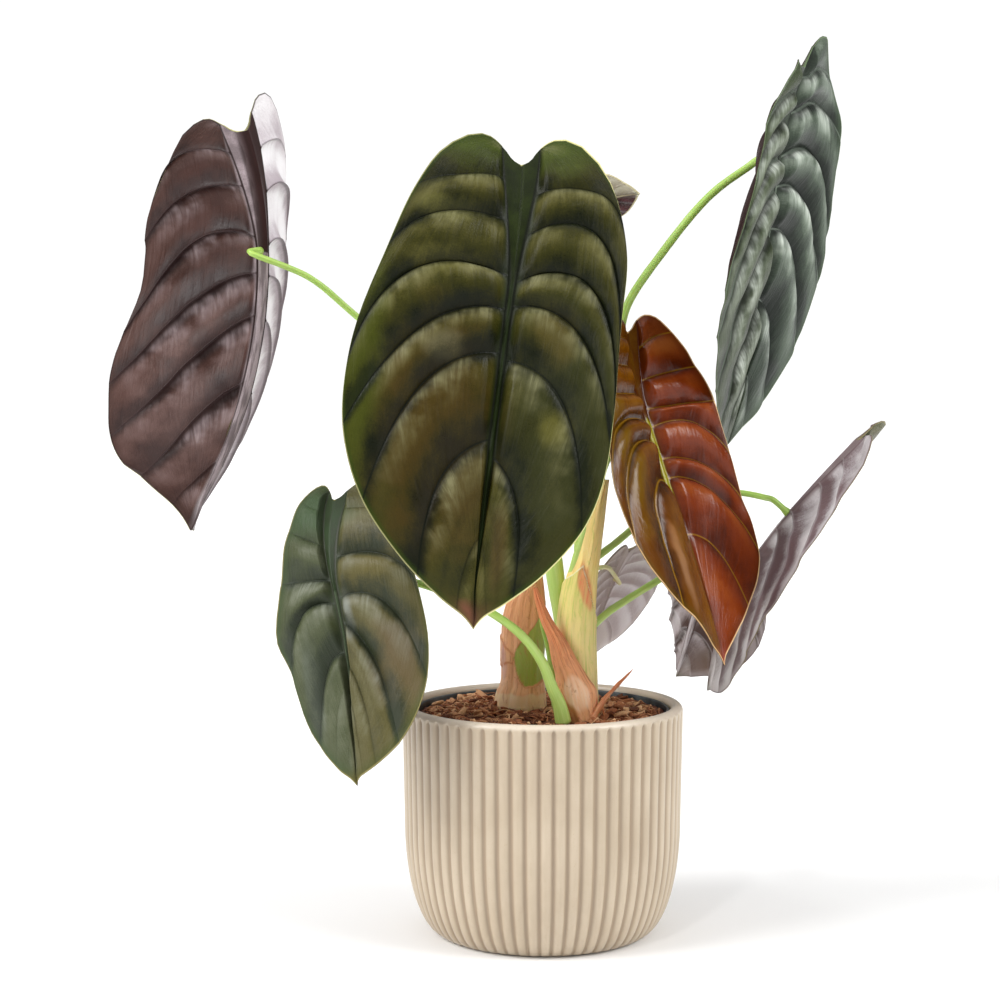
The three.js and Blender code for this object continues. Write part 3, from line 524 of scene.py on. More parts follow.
BLADES = dict(
    front_leaf=Blade(
        joint=(-15.5, -60, 319), yaw=5.5, pitch=15, roll=-8.5, tip_length=161.5, lobe_length=63.5,
        width=(62, 56.5), full=(0.15, 0), fold=(13, 13.5), curl=(-11, -4), bend=13.5, bend_up=17,
        side=1.5, side_up=4, twist=-1.5, quilt=5, seed=3, columns=42, hook=(1.5, 0),
        edge=([0.2, -0.7, 1.6, 1.1, 0.6, -0.4, -0.2], [0.7, -1.2, -3.6, -2, 1.4, 0, -1.4]),
        veins=(dict(
            root=[0.69, 0.43, 0.05, -0.08, -0.21, -0.46, -0.74],
            end=[5.9, 7.4, 9, 9.9, 11, 12.45, 13.7],
            out=[0.6, 0.7, 0.82, 0.62, 0.75, 1.1, 0.8],
            lean=[0, -0.29, -0.27, -0.03, 0.03, 0.17, 0.15],
            depth=[0.7, 0.9, 1, 1, 1, 1, 0.45],
        ), dict(
            root=[0.6, 0.35, 0.01, -0.07, -0.23, -0.51, -0.76],
            end=[6.6, 8.3, 9.2, 9.7, 11.1, 12.8, 13.8],
            out=[0.85, 0.9, 0.9, 0.75, 0.84, 1.15, 0.8],
            lean=[-0.5, -0.5, -0.45, -0.14, 0, 0.22, 0.15],
            depth=[0.7, 0.85, 0.9, 0.9, 0.9, 0.9, 0.2],
        )),
    ),
    upper_left_leaf=Blade(
        joint=(-141.4, 25, 339.8), yaw=200.3, pitch=6.6, roll=-2.5, tip_length=157.8, lobe_length=61.3,
        width=(57.9, 69.7), full=(0, 0.05), fold=(53, 45), curl=(21.4, -7.8), bend=45.3, bend_up=12.3,
        side=48.7, side_up=-19.5, twist=-13.8, open=(8, 0), lobe=0.14, quilt=5.5, seed=4,
        hook=(-3, 0),
        edge=([8, -3, -0.6, -0.2, 1.4, 0.5, 0], [-5, 2.1, -1.5, 1.9, 1.9, 8.2, 2]),
        veins=({}, dict(
            root=[0.7, 0.48, 0.12, -0.07, -0.21, -0.44, -0.72],
            end=[6.2, 7.5, 9, 10.1, 11.4, 12.7, 13.6],
            out=[0.74, 0.64, 0.63, 0.63, 0.61, 0.7, 0.48],
            lean=[-0.6, -0.26, -0.29, 0.04, 0.13, 0.14, 0.19],
        )),
    ),
    lower_left_leaf=Blade(
        joint=(-100.6, -40, 174.4), yaw=-23, pitch=18, roll=22, tip_length=94.5, lobe_length=51,
        width=(36.5, 41.5), full=(-0.08, 0), fold=(-5.5, 1), curl=(-13, -11.5), bend=6.5, bend_up=24.5,
        side=-14.5, side_up=-14, twist=2, quilt=4.5, seed=5,
        edge=([-2.7, -4.7, 3, -1.4, -1.9, -2, -0.6], [0, 0, 0.2, 0.7, 0.3, -0.3, -2.6]),
        veins=(dict(
            root=[0.7, 0.42, 0.11, -0.07, -0.33, -0.52, -0.76],
            end=[4.6, 5.6, 7, 9.2, 11.7, 12.8, 13.8],
            out=[0.6, 0.5, 0.45, 0.8, 0.74, 0.7, 0.6],
            lean=[0.3, 0.5, 0.7, -0.5, -0.07, 0.1, 0.15],
            depth=[0.2, 0.5, 1, 1, 1, 0.15, 0.1],
        ), dict(
            root=[0.68, 0.3, -0.05, -0.18, -0.4, -0.58, -0.78],
            end=[5.8, 8.1, 10.2, 12, 12.9, 13.6, 14.2],
            out=[0.7, 0.76, 0.71, 0.67, 0.65, 0.6, 0.6],
            lean=[-0.1, -0.11, -0.12, 0.2, 0.2, 0.2, 0.15],
            depth=[0.35, 1, 1, 1, 0.35, 0.15, 0.1],
        )),
    ),
    front_right_leaf=Blade(
        joint=(50.5, -22, 256.4), yaw=48.5, pitch=21, roll=2, tip_length=125, lobe_length=43.5,
        width=(44, 46), full=(0.15, 0), fold=(17, 11), curl=(-23, 2), bend=0, bend_up=-8.5,
        side=-2.5, side_up=-6, twist=-5, quilt=4, seed=6,
        edge=([0, 0, 0, 1, 0, -4.5, -1], [-1, 0.9, -1.2, -1.3, 4, -1.5, -2]),
        veins=(dict(
            root=[0.72, 0.5, 0.25, -0.02, -0.11, -0.26, -0.7],
            end=[4.6, 5.9, 7.1, 8.6, 10, 11.6, 13.6],
            out=[0.65, 0.7, 0.71, 0.74, 0.77, 1, 0.8],
            lean=[0.1, 0.08, 0.08, -0.35, -0.21, -0.1, 0.1],
            depth=[0.5, 0.7, 0.9, 1, 1, 1, 0.1],
        ), dict(
            root=[0.67, 0.39, 0.1, -0.04, -0.17, -0.25, -0.48],
            end=[4.7, 6.1, 7.5, 8.5, 9.4, 10.5, 11.8],
            out=[0.3, 0.45, 0.9, 0.78, 0.72, 0.7, 0.82],
            lean=[0.8, 0.7, -0.3, -0.4, -0.03, -0.06, 0],
            depth=[0.8, 0.9, 1, 1, 1, 1, 0.9],
        )),
    ),
    upper_right_leaf=Blade(
        joint=(116.9, -5, 380), yaw=62.3, pitch=-13.2, roll=16.2, tip_length=153.4, lobe_length=49.3,
        width=(51.8, 58.8), full=(0.15, 0), fold=(6.1, 3.9), curl=(-3.5, 2.5), bend=9, bend_up=-18.2,
        side=2, side_up=7.1, twist=6, open=(8.2, 12.6), lobe=0.17, notch=1.4, quilt=6.5, seed=7,
        edge=([-3.7, -7.6, -2.2, 1.5, -2.9, 0.5, 0.6], [2.5, 5.8, 0, 0, -1.9, -0.7, 0.6]),
    ),
    right_leaf=Blade(
        joint=(123.2, -2, 207.3), yaw=90.5, pitch=-36.5, roll=25, tip_length=117.5, lobe_length=52.5,
        width=(46, 43), fold=(11.5, 13), curl=(0, 0), bend=-29.5, bend_up=-2.5,
        side=10, side_up=3.5, twist=-14, quilt=3.4, seed=8, crumple=0.8,
        edge=([-2, 0.3, 1.8, 0, -0.6, 1.5, 0.7], [0] * 7),
    ),
    lower_right_leaf=Blade(
        joint=(88.3, 80, 164.8), yaw=180, pitch=33, roll=6.5, tip_length=67.5, lobe_length=29.5,
        width=(35.5, 32), full=(0.05, 0), fold=(-1, 59.5), curl=(0, 0), bend=-2.5, bend_up=10,
        side=5, side_up=0, twist=20.5, quilt=3, seed=9, columns=32, crumple=2.2, edge_relief=0.5,
        edge=([0, 0.1, 0.5, 1.7, 2.1, 3.2, 2], [0, 0, 0, 0, 0, -1.8, -2.6]),
    ),
    rear_leaf=Blade(
        joint=(37.4, 38, 173.4), yaw=228.7, pitch=38, roll=-16.8, tip_length=66, lobe_length=21.5,
        width=(33.2, 14.6), fold=(-11, 1.5), curl=(0, 0), bend=2.5, bend_up=6,
        side=-8, side_up=2, twist=-3, quilt=1.2, seed=10, columns=22,
    ),
    top_rear_leaf=Blade(
        joint=(24.6, 10, 361), yaw=149.4, pitch=46, roll=-120.5, tip_length=32.5, lobe_length=15,
        width=(20.3, 11.5), fold=(-9.5, -25.3), curl=(0, 0), bend=10.5, bend_up=8,
        side=29.9, side_up=0, twist=0, quilt=1.4, seed=11, columns=20,
    ),
)


# What a blade's colours hold unless they say otherwise. low and middle are where deep turns into web;
# border is how far the edge colour reaches in, and rib_width half a broad rib's width, in millimetres
LOOK = dict(
    low=-0.1, middle=0.8, bank=0.5, border=7.0, border_share=0.6, tip_share=0.8, vein_share=0.8,
    half_line=0.9, rib_width=0.0, spots=(),
)
FIELDS = ("vein", "rib", "rim", "reach", "row", "share", "mark", "keel", "under")


def blade_paint(name, top, under, gloss=0.36, sheen=0.0, bright=0.2, wrinkle=0.5):
    """top and under give the colours of one face each: web is the blade between its veins, deep
    the dark just above a vein, the leaf's own colour deepened by painted shade, glow the crests,
    own colour brightened by painted light, crest a painted highlight along the lines just below a
    vein, and half_... the same on the left half."""
    paint = Paint(name, Sheen_Weight=sheen, Sheen_Roughness=0.35, Specular_IOR_Level=bright)
    place = paint.value("place", "Vector")
    vein, rib, rim, reach, row, share, mark, keel, face = (paint.value(key) for key in FIELDS)
    across = paint.read("SeparateXYZ", "X", {0: place})
    flat = paint.scaled(place, (1, 1, 0))
    web = paint.span(share, 0.0, 0.05)
    cell = paint.math("FRACT", row)
    cloud = paint.noise(place, 0.55, 3, 0.5)

    def streaks(fine, drawn, scale, warp):
        """Noise drawn out between the veins: across them where drawn is large."""
        lines = paint.vector(row * fine, share * drawn, across)
        return (paint.noise(lines, scale, 4, 0.62, warp) - 0.5) * web

    fibre = streaks(6.0, 1.6, 1.6, 0.25)
    fan = streaks(0.9, 16.0, 1.3, 0.5)
    fine = paint.noise(place, 12.0, 3, 0.62)
    # lit: dark just above each vein, bright on the crest below, the leaf's own pattern plus painted shade
    # and painted light from above
    lit = 1.0 - mark * (1.0 - paint.span(cell, 0.0, 0.24) * paint.span(cell, 1.0, 0.22))
    lit = lit + (cloud - 0.5) * 1.5 + fibre * 0.3 + fan * 0.5 + (fine - 0.5) * 0.55
    held = paint.span(lit, 0.1, 0.9, 0.3, 1.0)
    # bank masks a painted highlight, a pale sheen in the band just below each vein
    bank = paint.span(cell, 0.0, 0.1) * paint.span(cell, 0.5, 0.1) * mark
    bank = bank * paint.span(cloud, 0.38, 0.66) * paint.span(fan, -0.22, 0.25, 0.2, 1.0)
    bank = bank * paint.span(share, 1.0, 0.5) * web

    def colours(own):
        c = {**LOOK, **own}
        half = paint.span(across, -0.3, 0.3)

        def pick(key):
            other = "half_" + key
            return paint.mix(half, c[other], c[key]) if other in c else c[key]

        colour = paint.mix(paint.span(lit, c["low"], c["middle"]), pick("deep"), pick("web"))
        # glow lays the crests' lighter colour, partly painted light, where lit is high
        glow = paint.span(lit, 0.6, 1.3) * paint.span(share, 1.0, 0.6, 0.25, 1.0)
        colour = paint.mix(glow, colour, pick("glow"))
        for spot, x, y, wide, tall, strength in c["spots"]:
            off = paint.read("VectorMath", 0, {0: flat, 1: (x, y, 0)}, operation="SUBTRACT")
            off = paint.scaled(off, (1 / wide, 1 / tall, 0))
            off = paint.read("VectorMath", "Value", {0: off}, operation="LENGTH")
            shown = paint.span(off + (0.5 - cloud) * 1.2, 1.15, 0.35, 0.0, strength)
            colour = paint.mix(shown * held, colour, spot)
        # painted highlight: the crest colour laid over the bank band
        colour = paint.mix(bank * c["bank"], colour, pick("crest"))
        border = paint.span(rim, c["border"], 0.5, 0.0, c["border_share"])
        colour = paint.mix(border, colour, pick("edge"))
        middle = paint.mix(paint.span(keel, 0.2, 1.0), c["rib"], c["deep"])
        right = half * paint.span(share, -0.95, -0.55)
        strip = paint.mix(right, c.get("half_strip", c["strip"]), c["strip"])
        strip = paint.mix(paint.span(rib, 0.3, 1.6), middle, strip)
        strip = paint.mix(paint.span(cloud, 0.6, 0.4) * 0.55, strip, c["deep"])
        strip = paint.mix(paint.span(fine, 0.35, 0.7) * 0.25, strip, c["deep"])
        colour = paint.mix(web, strip, colour)
        beside = paint.span(rib, 2.6, 0.4, 0.0, 0.6) * web * paint.span(reach, 0.95, 0.4, 0.2, 1.0)
        colour = paint.mix(beside, colour, pick("deep"))
        if c["rib_width"]:
            wide = paint.span(keel, 1.3 * c["rib_width"], 0.8 * c["rib_width"])
            wide = wide * paint.span(reach, 0.0, 0.03) * paint.span(reach, 0.7, 0.35, 0.0, 0.9)
            colour = paint.mix(wide, colour, c["rib"])
        colour = paint.mix(paint.span(reach, 0.9, 1.0, 0.0, c["tip_share"]), colour, c["tip"])
        colour = paint.mix(paint.span(vein, 0.7, 0.15) * mark * c["vein_share"], colour, c["vein"])
        line = paint.span(rim, 1.1, 0.3) * paint.span(half, 0.0, 1.0, c["half_line"], 0.9)
        return paint.mix(line, colour, c["line"])

    colour = paint.mix(face, colours(top), colours(under))
    rough = paint.span(cloud, 0.3, 0.75, -0.05, 0.09) + gloss
    rough = rough + paint.span(fine, 0.3, 0.7, -0.03, 0.05)
    normal = paint.bump(fibre + 0.5, 0.22, 0.5)
    normal = paint.bump(fan + 0.5, 0.8, wrinkle, normal)
    normal = paint.bump(fine, 0.14, wrinkle, normal)
    return paint.finish(colour, rough, normal)


# Blade colours, 0 to 255. spots are soft oval patches: colour, centre and half size in centimetres, share
# crest in each palette is the colour of the painted highlight just below each vein
WINE = dict(
    web=(72, 46, 39), deep=(38, 21, 19), glow=(104, 78, 72), crest=(184, 168, 170),
    edge=(60, 38, 32), strip=(58, 36, 32), vein=(48, 28, 28), tip=(64, 42, 38),
    line=(46, 28, 26), rib=(110, 88, 84), vein_share=0.6, bank=0.85, middle=0.9,
    spots=[((108, 86, 82), 3.0, -10, 3.2, 5, 0.4), ((62, 28, 20), 3.4, 2.5, 2.4, 3.5, 0.5)],
)
# The left half of this underside is painted near white: a painted sheen of grazing reflection over the wine
# colour
WINE_PAINTED_SHEEN = dict(
    WINE, half_web=(240, 236, 238), half_deep=(186, 174, 180), half_glow=(252, 250, 252),
    half_crest=(252, 252, 252), half_edge=(232, 226, 228), strip=(176, 160, 164),
    half_strip=(52, 28, 26), rib=(170, 156, 158),
)
SILVER = dict(
    web=(190, 184, 186), deep=(108, 88, 90), glow=(226, 222, 224), crest=(250, 250, 250),
    edge=(176, 166, 168), strip=(150, 136, 138), vein=(200, 194, 196), tip=(92, 88, 60),
    line=(104, 86, 84), rib=(190, 182, 184), vein_share=0.3, bank=0.8, low=0.05, middle=0.8,
)
BROWN_SILVER = dict(
    SILVER, web=(156, 144, 144), deep=(74, 54, 48), glow=(196, 188, 190), edge=(150, 138, 138),
    spots=[((92, 66, 44), -1.5, -5.5, 1.8, 2.2, 0.8), ((76, 60, 50), 2.6, -2, 1.2, 3, 0.6)],
)
LILAC = dict(
    SILVER, web=(208, 198, 200), deep=(176, 160, 160), glow=(226, 220, 220),
    strip=(200, 188, 190), edge=(202, 188, 180), rib=(208, 198, 198), vein_share=0.12,
    low=-0.1, bank=0.4, crest=(226, 220, 222), spots=[((176, 152, 110), 0.5, -4.6, 2.4, 2.2, 0.4)],
)
# The pale cream half_ colours are a painted sheen, a painted reflection over the young blade's own colour on
# its left half
YOUNG = dict(
    SILVER, web=(66, 14, 18), deep=(42, 8, 11), glow=(92, 36, 40), crest=(160, 116, 118),
    edge=(62, 14, 17), strip=(96, 54, 50), half_web=(210, 204, 180), half_deep=(168, 156, 130),
    half_glow=(234, 230, 218), half_edge=(210, 202, 178), half_crest=(242, 238, 228),
    tip=(200, 210, 186), line=(220, 210, 166), rib=(224, 210, 174), vein_share=0.15,
)
OLIVE = dict(
    web=(50, 49, 14), deep=(17, 21, 9), glow=(80, 76, 32), crest=(138, 136, 100),
    edge=(44, 60, 10), strip=(36, 46, 11), vein=(11, 16, 6), tip=(140, 88, 70),
    line=(220, 214, 150), rib=(34, 46, 16), border=4.5, border_share=0.7, half_line=0.4, bank=0.75,
    tip_share=0.35, spots=[
        # painted shade: the second spot darkens and greys the lower right half, where it turns from the
        # light
        ((62, 41, 8), -2.6, -7.5, 3.6, 7, 0.6), ((38, 43, 25), 3.2, -7, 3.4, 8, 0.6),
        ((58, 76, 20), 0, 7.6, 5.5, 2.6, 0.6), ((62, 72, 12), -6.4, -5, 1.1, 7.5, 0.5),
        ((96, 92, 40), 2.7, -6.6, 1.0, 1.1, 0.6), ((84, 72, 30), 2.3, -2.4, 1.3, 1.6, 0.5),
        ((76, 54, 30), 0.9, -12.2, 0.5, 2.3, 0.4), ((116, 66, 54), -0.4, -15.6, 0.5, 0.8, 0.6),
        ((106, 104, 56), -3.2, 3.0, 1.8, 0.8, 0.5), ((100, 96, 46), -3.4, 0.4, 1.8, 0.9, 0.5),
        # painted highlight: the last spot, a whitish sheen on crests at the upper left
        ((116, 112, 84), -2.9, -3.6, 1.2, 0.9, 0.45),
    ],
)
GREY = dict(
    web=(84, 79, 46), deep=(44, 49, 33), glow=(104, 101, 72), crest=(160, 164, 152),
    half_web=(68, 74, 48), half_deep=(44, 50, 37), half_glow=(94, 98, 76), edge=(66, 72, 28),
    half_edge=(58, 74, 40), strip=(44, 62, 34), vein=(40, 48, 34), tip=(92, 82, 32),
    line=(132, 124, 76), rib=(78, 92, 68), bank=0.45, vein_share=0.5, spots=[
        # painted highlight: the second spot, light grey beside the midrib on the right
        ((98, 76, 56), 2.6, -4.2, 1.5, 2.6, 0.45), ((132, 138, 134), 0.5, -1.4, 0.35, 1.4, 0.6),
        ((48, 74, 42), -0.8, 4.4, 2.4, 2.0, 0.7), ((96, 102, 96), -1.9, -4.5, 0.7, 3.0, 0.4),
        ((106, 96, 50), 2.4, 0.6, 1.5, 1.0, 0.5),
    ],
)
GREEN_GREY = dict(
    web=(66, 78, 64), deep=(20, 28, 20), glow=(116, 128, 112), crest=(226, 234, 222),
    half_web=(54, 64, 40), half_deep=(28, 34, 20), half_glow=(92, 102, 78), edge=(66, 82, 60),
    half_edge=(46, 60, 20), strip=(44, 58, 38), vein=(136, 148, 134), tip=(42, 54, 32),
    line=(104, 124, 88), rib=(122, 134, 118), vein_share=0.45, bank=1.0, border=11.0, low=0.0,
    middle=0.9, spots=[
        ((150, 160, 148), 4.2, 3, 1.6, 2.4, 0.5), ((34, 44, 36), 1.4, -9.5, 1.6, 3, 0.5),
    ],
)
COPPER = dict(
    web=(114, 43, 6), deep=(66, 21, 3), glow=(136, 62, 16), crest=(176, 108, 64),
    half_web=(92, 50, 0), half_deep=(48, 22, 0), half_glow=(112, 70, 6), edge=(84, 36, 5),
    half_edge=(84, 62, 2), rib_width=1.7, strip=(92, 58, 8), vein=(150, 108, 12), tip=(150, 60, 42),
    line=(236, 196, 140), rib=(140, 132, 8), vein_share=0.6, bank=0.2, low=-0.3, spots=[
        # painted highlight: the first spot, a pale waxy sheen along a crest of the left half
        ((182, 138, 100), -1.9, -7.6, 0.4, 2.3, 0.32), ((104, 80, 4), -3.4, -2, 1.2, 5, 0.6),
        ((144, 84, 34), 2.4, 4.2, 2.4, 1.8, 0.5),
    ],
)
# Each leaf's material, its slot, the colours of its upper side and underside, and its finish
SKINS = dict(
    front_leaf=("olive_blade", "blade_olive", OLIVE, WINE, dict(gloss=0.34, bright=0.12, wrinkle=0.7)),
    upper_left_leaf=("wine_blade", "blade_wine", OLIVE, WINE_PAINTED_SHEEN, dict(gloss=0.4, sheen=0.15,
                                                                          wrinkle=0.6)),
    lower_left_leaf=("grey_blade", "blade_grey", GREY, WINE, {}),
    front_right_leaf=("copper_blade", "blade_copper", COPPER, WINE, dict(gloss=0.1, bright=0.3,
                                                                         wrinkle=0.3)),
    upper_right_leaf=("pale_green_blade", "blade_grey", GREEN_GREY, WINE, dict(gloss=0.38, sheen=0.05)),
    right_leaf=("silver_blade", "blade_silver", GREY, SILVER, dict(gloss=0.4, sheen=0.1)),
    lower_right_leaf=("crumpled_blade", "blade_silver", GREY, BROWN_SILVER, dict(sheen=0.1)),
    rear_leaf=("lilac_blade", "blade_silver", GREY, LILAC, dict(gloss=0.42, sheen=0.2)),
    top_rear_leaf=("small_blade", "blade_wine", YOUNG, YOUNG, dict(gloss=0.25, bright=0.4)),
)
for name, (paint_name, slot, top, under, finish) in SKINS.items():
    material = blade_paint(paint_name, top, under, **finish)
    dress(BLADES[name].piece(name + "_skin"), material, name)


# Stalks and stems
def spline(points, steps):
    """Centripetal Catmull-Rom through points, sampled at equal lengths."""
    points = [np.asarray(p, float) for p in points]
    points = [2 * points[0] - points[1]] + points + [2 * points[-1] - points[-2]]
    dense = []
    for p0, p1, p2, p3 in zip(points, points[1:], points[2:], points[3:]):
        d0, d1, d2 = (max(np.linalg.norm(b - a) ** 0.5, 1e-4) for a, b in ((p0, p1), (p1, p2), (p2, p3)))
        t1 = ((p1 - p0) / d0 - (p2 - p0) / (d0 + d1) + (p2 - p1) / d1) * d1
        t2 = ((p2 - p1) / d1 - (p3 - p1) / (d1 + d2) + (p3 - p2) / d2) * d1
        for t in np.linspace(0, 1, 30)[:-1]:
            dense.append((2 * t**3 - 3 * t**2 + 1) * p1 + (t**3 - 2 * t**2 + t) * t1
                         + (3 * t**2 - 2 * t**3) * p2 + (t**3 - t**2) * t2)
    dense.append(points[-2])
    dense = np.array(dense)
    length = np.concatenate([[0], np.cumsum(np.linalg.norm(np.diff(dense, axis=0), axis=1))])
    at = np.linspace(0, length[-1], steps + 1)
    return np.stack([np.interp(at, length, dense[:, k]) for k in range(3)], -1)


def tube_into(parts, path, radius, sides, wobble=0.0, seed=1, mapped=True, **values):
    """Adds a tube along a path; mapped gives its points the shares along it and around it too."""
    tangent = np.gradient(path, axis=0)
    tangent /= np.linalg.norm(tangent, axis=1, keepdims=True)
    normal = np.cross(tangent[0], [0.3, 1.0, 0.1])
    angle = angles(sides)
    radius = np.broadcast_to(radius, len(path))
    rings = []
    for centre, t, r in zip(path, tangent, radius):
        normal = normal - t * (normal @ t)
        normal /= np.linalg.norm(normal)
        side = np.cross(t, normal)
        rings.append(centre + r * (np.cos(angle)[:, None] * normal + np.sin(angle)[:, None] * side))
    points = np.array(rings)
    if wobble:
        push = Bumps(seed)(points.reshape(-1, 3), 9.0).reshape(points.shape[:2]) * wobble
        points = points + (points - path[:, None]) / radius[:, None, None] * push[..., None]
    if mapped:
        values["share"] = np.repeat(np.linspace(0, 1, len(path)), sides)
        values["around"] = np.tile(angle / (2 * math.pi), len(path))
    parts.add(points, tube_faces(len(path), sides), **values)


# Paths of the stalks from their feet up to the blades, and radii spread evenly over their length
STALKS = dict(
    front_leaf=([
        (11.5, -16, 134), (9.2, -14.5, 146), (7.9, -12.5, 157), (7.2, -11, 166), (6.2, -10, 177),
        (3.5, -10, 195), (-2, -12, 225), (-7, -20, 262), (-12, -32, 295),
    ], [1.6, 2.4, 4.3, 4.6, 3.2, 2.3, 2, 2, 2, 2, 2]),
    upper_left_leaf=([
        (-6, 10, 166), (-6, 12, 180), (-9, 15.5, 197), (-19, 18, 219), (-36, 22, 250), (-62, 25, 280),
        (-94, 25, 307), (-117, 20, 326),
    ], [2.2, 1.5]),
    lower_left_leaf=([
        (9.3, -36.5, 110), (7.2, -38, 119), (3.9, -40, 127), (-1.2, -42, 140), (-11, -43, 153),
        (-26, -42, 164), (-40, -38, 170), (-67, -30, 178), (-86, -27, 178),
    ], [3.9, 3, 2.5, 2.2, 2, 1.9, 1.8, 1.8, 1.8, 1.8, 1.8]),
    front_right_leaf=([
        (20, -13.5, 188), (24.5, -12.5, 208), (28.5, -10.5, 226), (32.5, -8.5, 237), (40, -8, 247),
    ], [1.7, 1.6]),
    upper_right_leaf=([
        (13, -18.5, 172), (14.6, -19.5, 182), (19.2, -19.5, 197.5), (25.3, -18.5, 216),
        (28.4, -17.5, 230), (31.2, -14, 246), (37, -6, 289), (41, -2, 310), (58, 1, 336),
        (82, 2, 365), (102, 4, 380),
    ], [2.3, 1.9]),
    right_leaf=([
        (23.5, -16, 186), (34, -9, 193), (59, 12, 210), (79, 18, 217), (99, 13, 218), (111, 6, 216),
    ], [1.8, 1.5]),
    lower_right_leaf=([
        (21, -14, 151), (32, -9, 160), (41, -2, 165), (57, 5, 174), (71, 22, 180), (82, 48, 178),
    ], [1.9, 1.6]),
    rear_leaf=([(22.5, -15, 180.5), (27.5, -8, 182), (33, 8, 180.5), (36, 22, 177)], [1.2, 1]),
    top_rear_leaf=([
        (16.5, -15, 184), (16.6, -13, 194), (18, -8.5, 212), (24, -4, 245), (30, -2, 275),
        (31, 2, 309), (28, 6, 336),
    ], [1.5, 1.1]),
)
# A short blade takes its stalk in more closely
SHORT_BLADE = 68
STALK_STEPS = 110
STALK_SIDES = 20


def stalk_paint(name, low, high, stripe):
    paint = Paint(name, Specular_IOR_Level=0.5, Subsurface_Weight=0.12, Subsurface_Scale=0.002)
    share = paint.value("share")
    streaks = paint.noise(paint.vector(paint.value("around") * 9.0, share * 2.0), 3.0, 3, 0.6)
    spots = paint.noise(paint.place(), 300.0, 3, 0.6)
    colour = paint.mix(paint.span(share, 0.0, 0.75), low, high)
    colour = paint.layered(colour, (streaks, 0.4, 0.75, 0.5, stripe), (spots, 0.55, 0.75, 0.12, stripe))
    rough = paint.span(spots, 0.3, 0.7, 0.3, 0.46)
    return paint.finish(colour, rough, paint.bump(streaks, 0.3, 0.5))


green_stalk = stalk_paint("green_stalk", (178, 206, 104), (158, 196, 82), (210, 228, 150))
cream_stalk = stalk_paint("cream_stalk", (226, 222, 150), (214, 206, 150), (240, 236, 190))
for name, (path, radii) in STALKS.items():
    blade = BLADES[name]
    last = blade.socket(3 if blade.tip_length < SHORT_BLADE else 9)
    path = spline([*path, last, blade.socket(0.4), blade.socket(-0.9)], STALK_STEPS)
    share = np.linspace(0, 1, len(path))
    radius = catmull(radii, share * (len(radii) - 1)) + 0.5 * radii[-1] * smoothstep(0.965, 1, share)
    parts = Parts()
    tube_into(parts, path, radius, STALK_SIDES, 0.06, 5)
    material = cream_stalk if name == "rear_leaf" else green_stalk
    dress(parts.piece(name + "_stalk_skin"), material, name + "_stalk")

# Stations of the stems: centre x, y, z, then half width and half depth
LEFT_STEM = [
    (-10, 8, 88, 9, 8), (-10.6, 8, 108, 12, 11), (-10.8, 8, 113, 12.2, 11), (-10.4, 8, 118, 11.6, 10.4),
    (-9.8, 8, 124, 10.2, 9.4), (-9.4, 8, 140, 10.6, 9), (-9, 8, 156, 10.3, 7.8), (-7, 9, 170, 7.6, 5.6),
    (-5.5, 11, 184, 3.8, 3.6),
]
RIGHT_STEM = [
    (19.4, -18, 88, 7.5, 7), (18.5, -18, 108, 8.4, 8), (17.2, -18, 122, 8.8, 8.4),
    (16.2, -18, 140, 9.2, 8.4), (16.1, -18, 153, 9.2, 8.2), (17.9, -18, 173, 8.2, 7.2),
    (21.7, -18, 191, 6.3, 5.4), (25.9, -18, 213, 4.2, 3.6), (29.6, -17.5, 226, 2.2, 2),
]
FRONT_SHEATH = [
    (21, -29.5, 96, 4.5, 4), (18.8, -30, 110, 7, 4.8), (16.6, -30, 118.5, 9.2, 5.4),
    (15.2, -30, 125, 9.8, 5.4), (13.4, -30, 131, 7.7, 5), (10, -30, 139.5, 6, 4.2), (6.4, -29, 149, 4.1, 3),
    (1.4, -27.5, 158.5, 2.7, 1.8), (-2.2, -26, 168, 1.6, 1.1), (-4, -25, 174, 0.7, 0.7),
]
STEM_SIDES = 96
STEM_LEVELS = 150


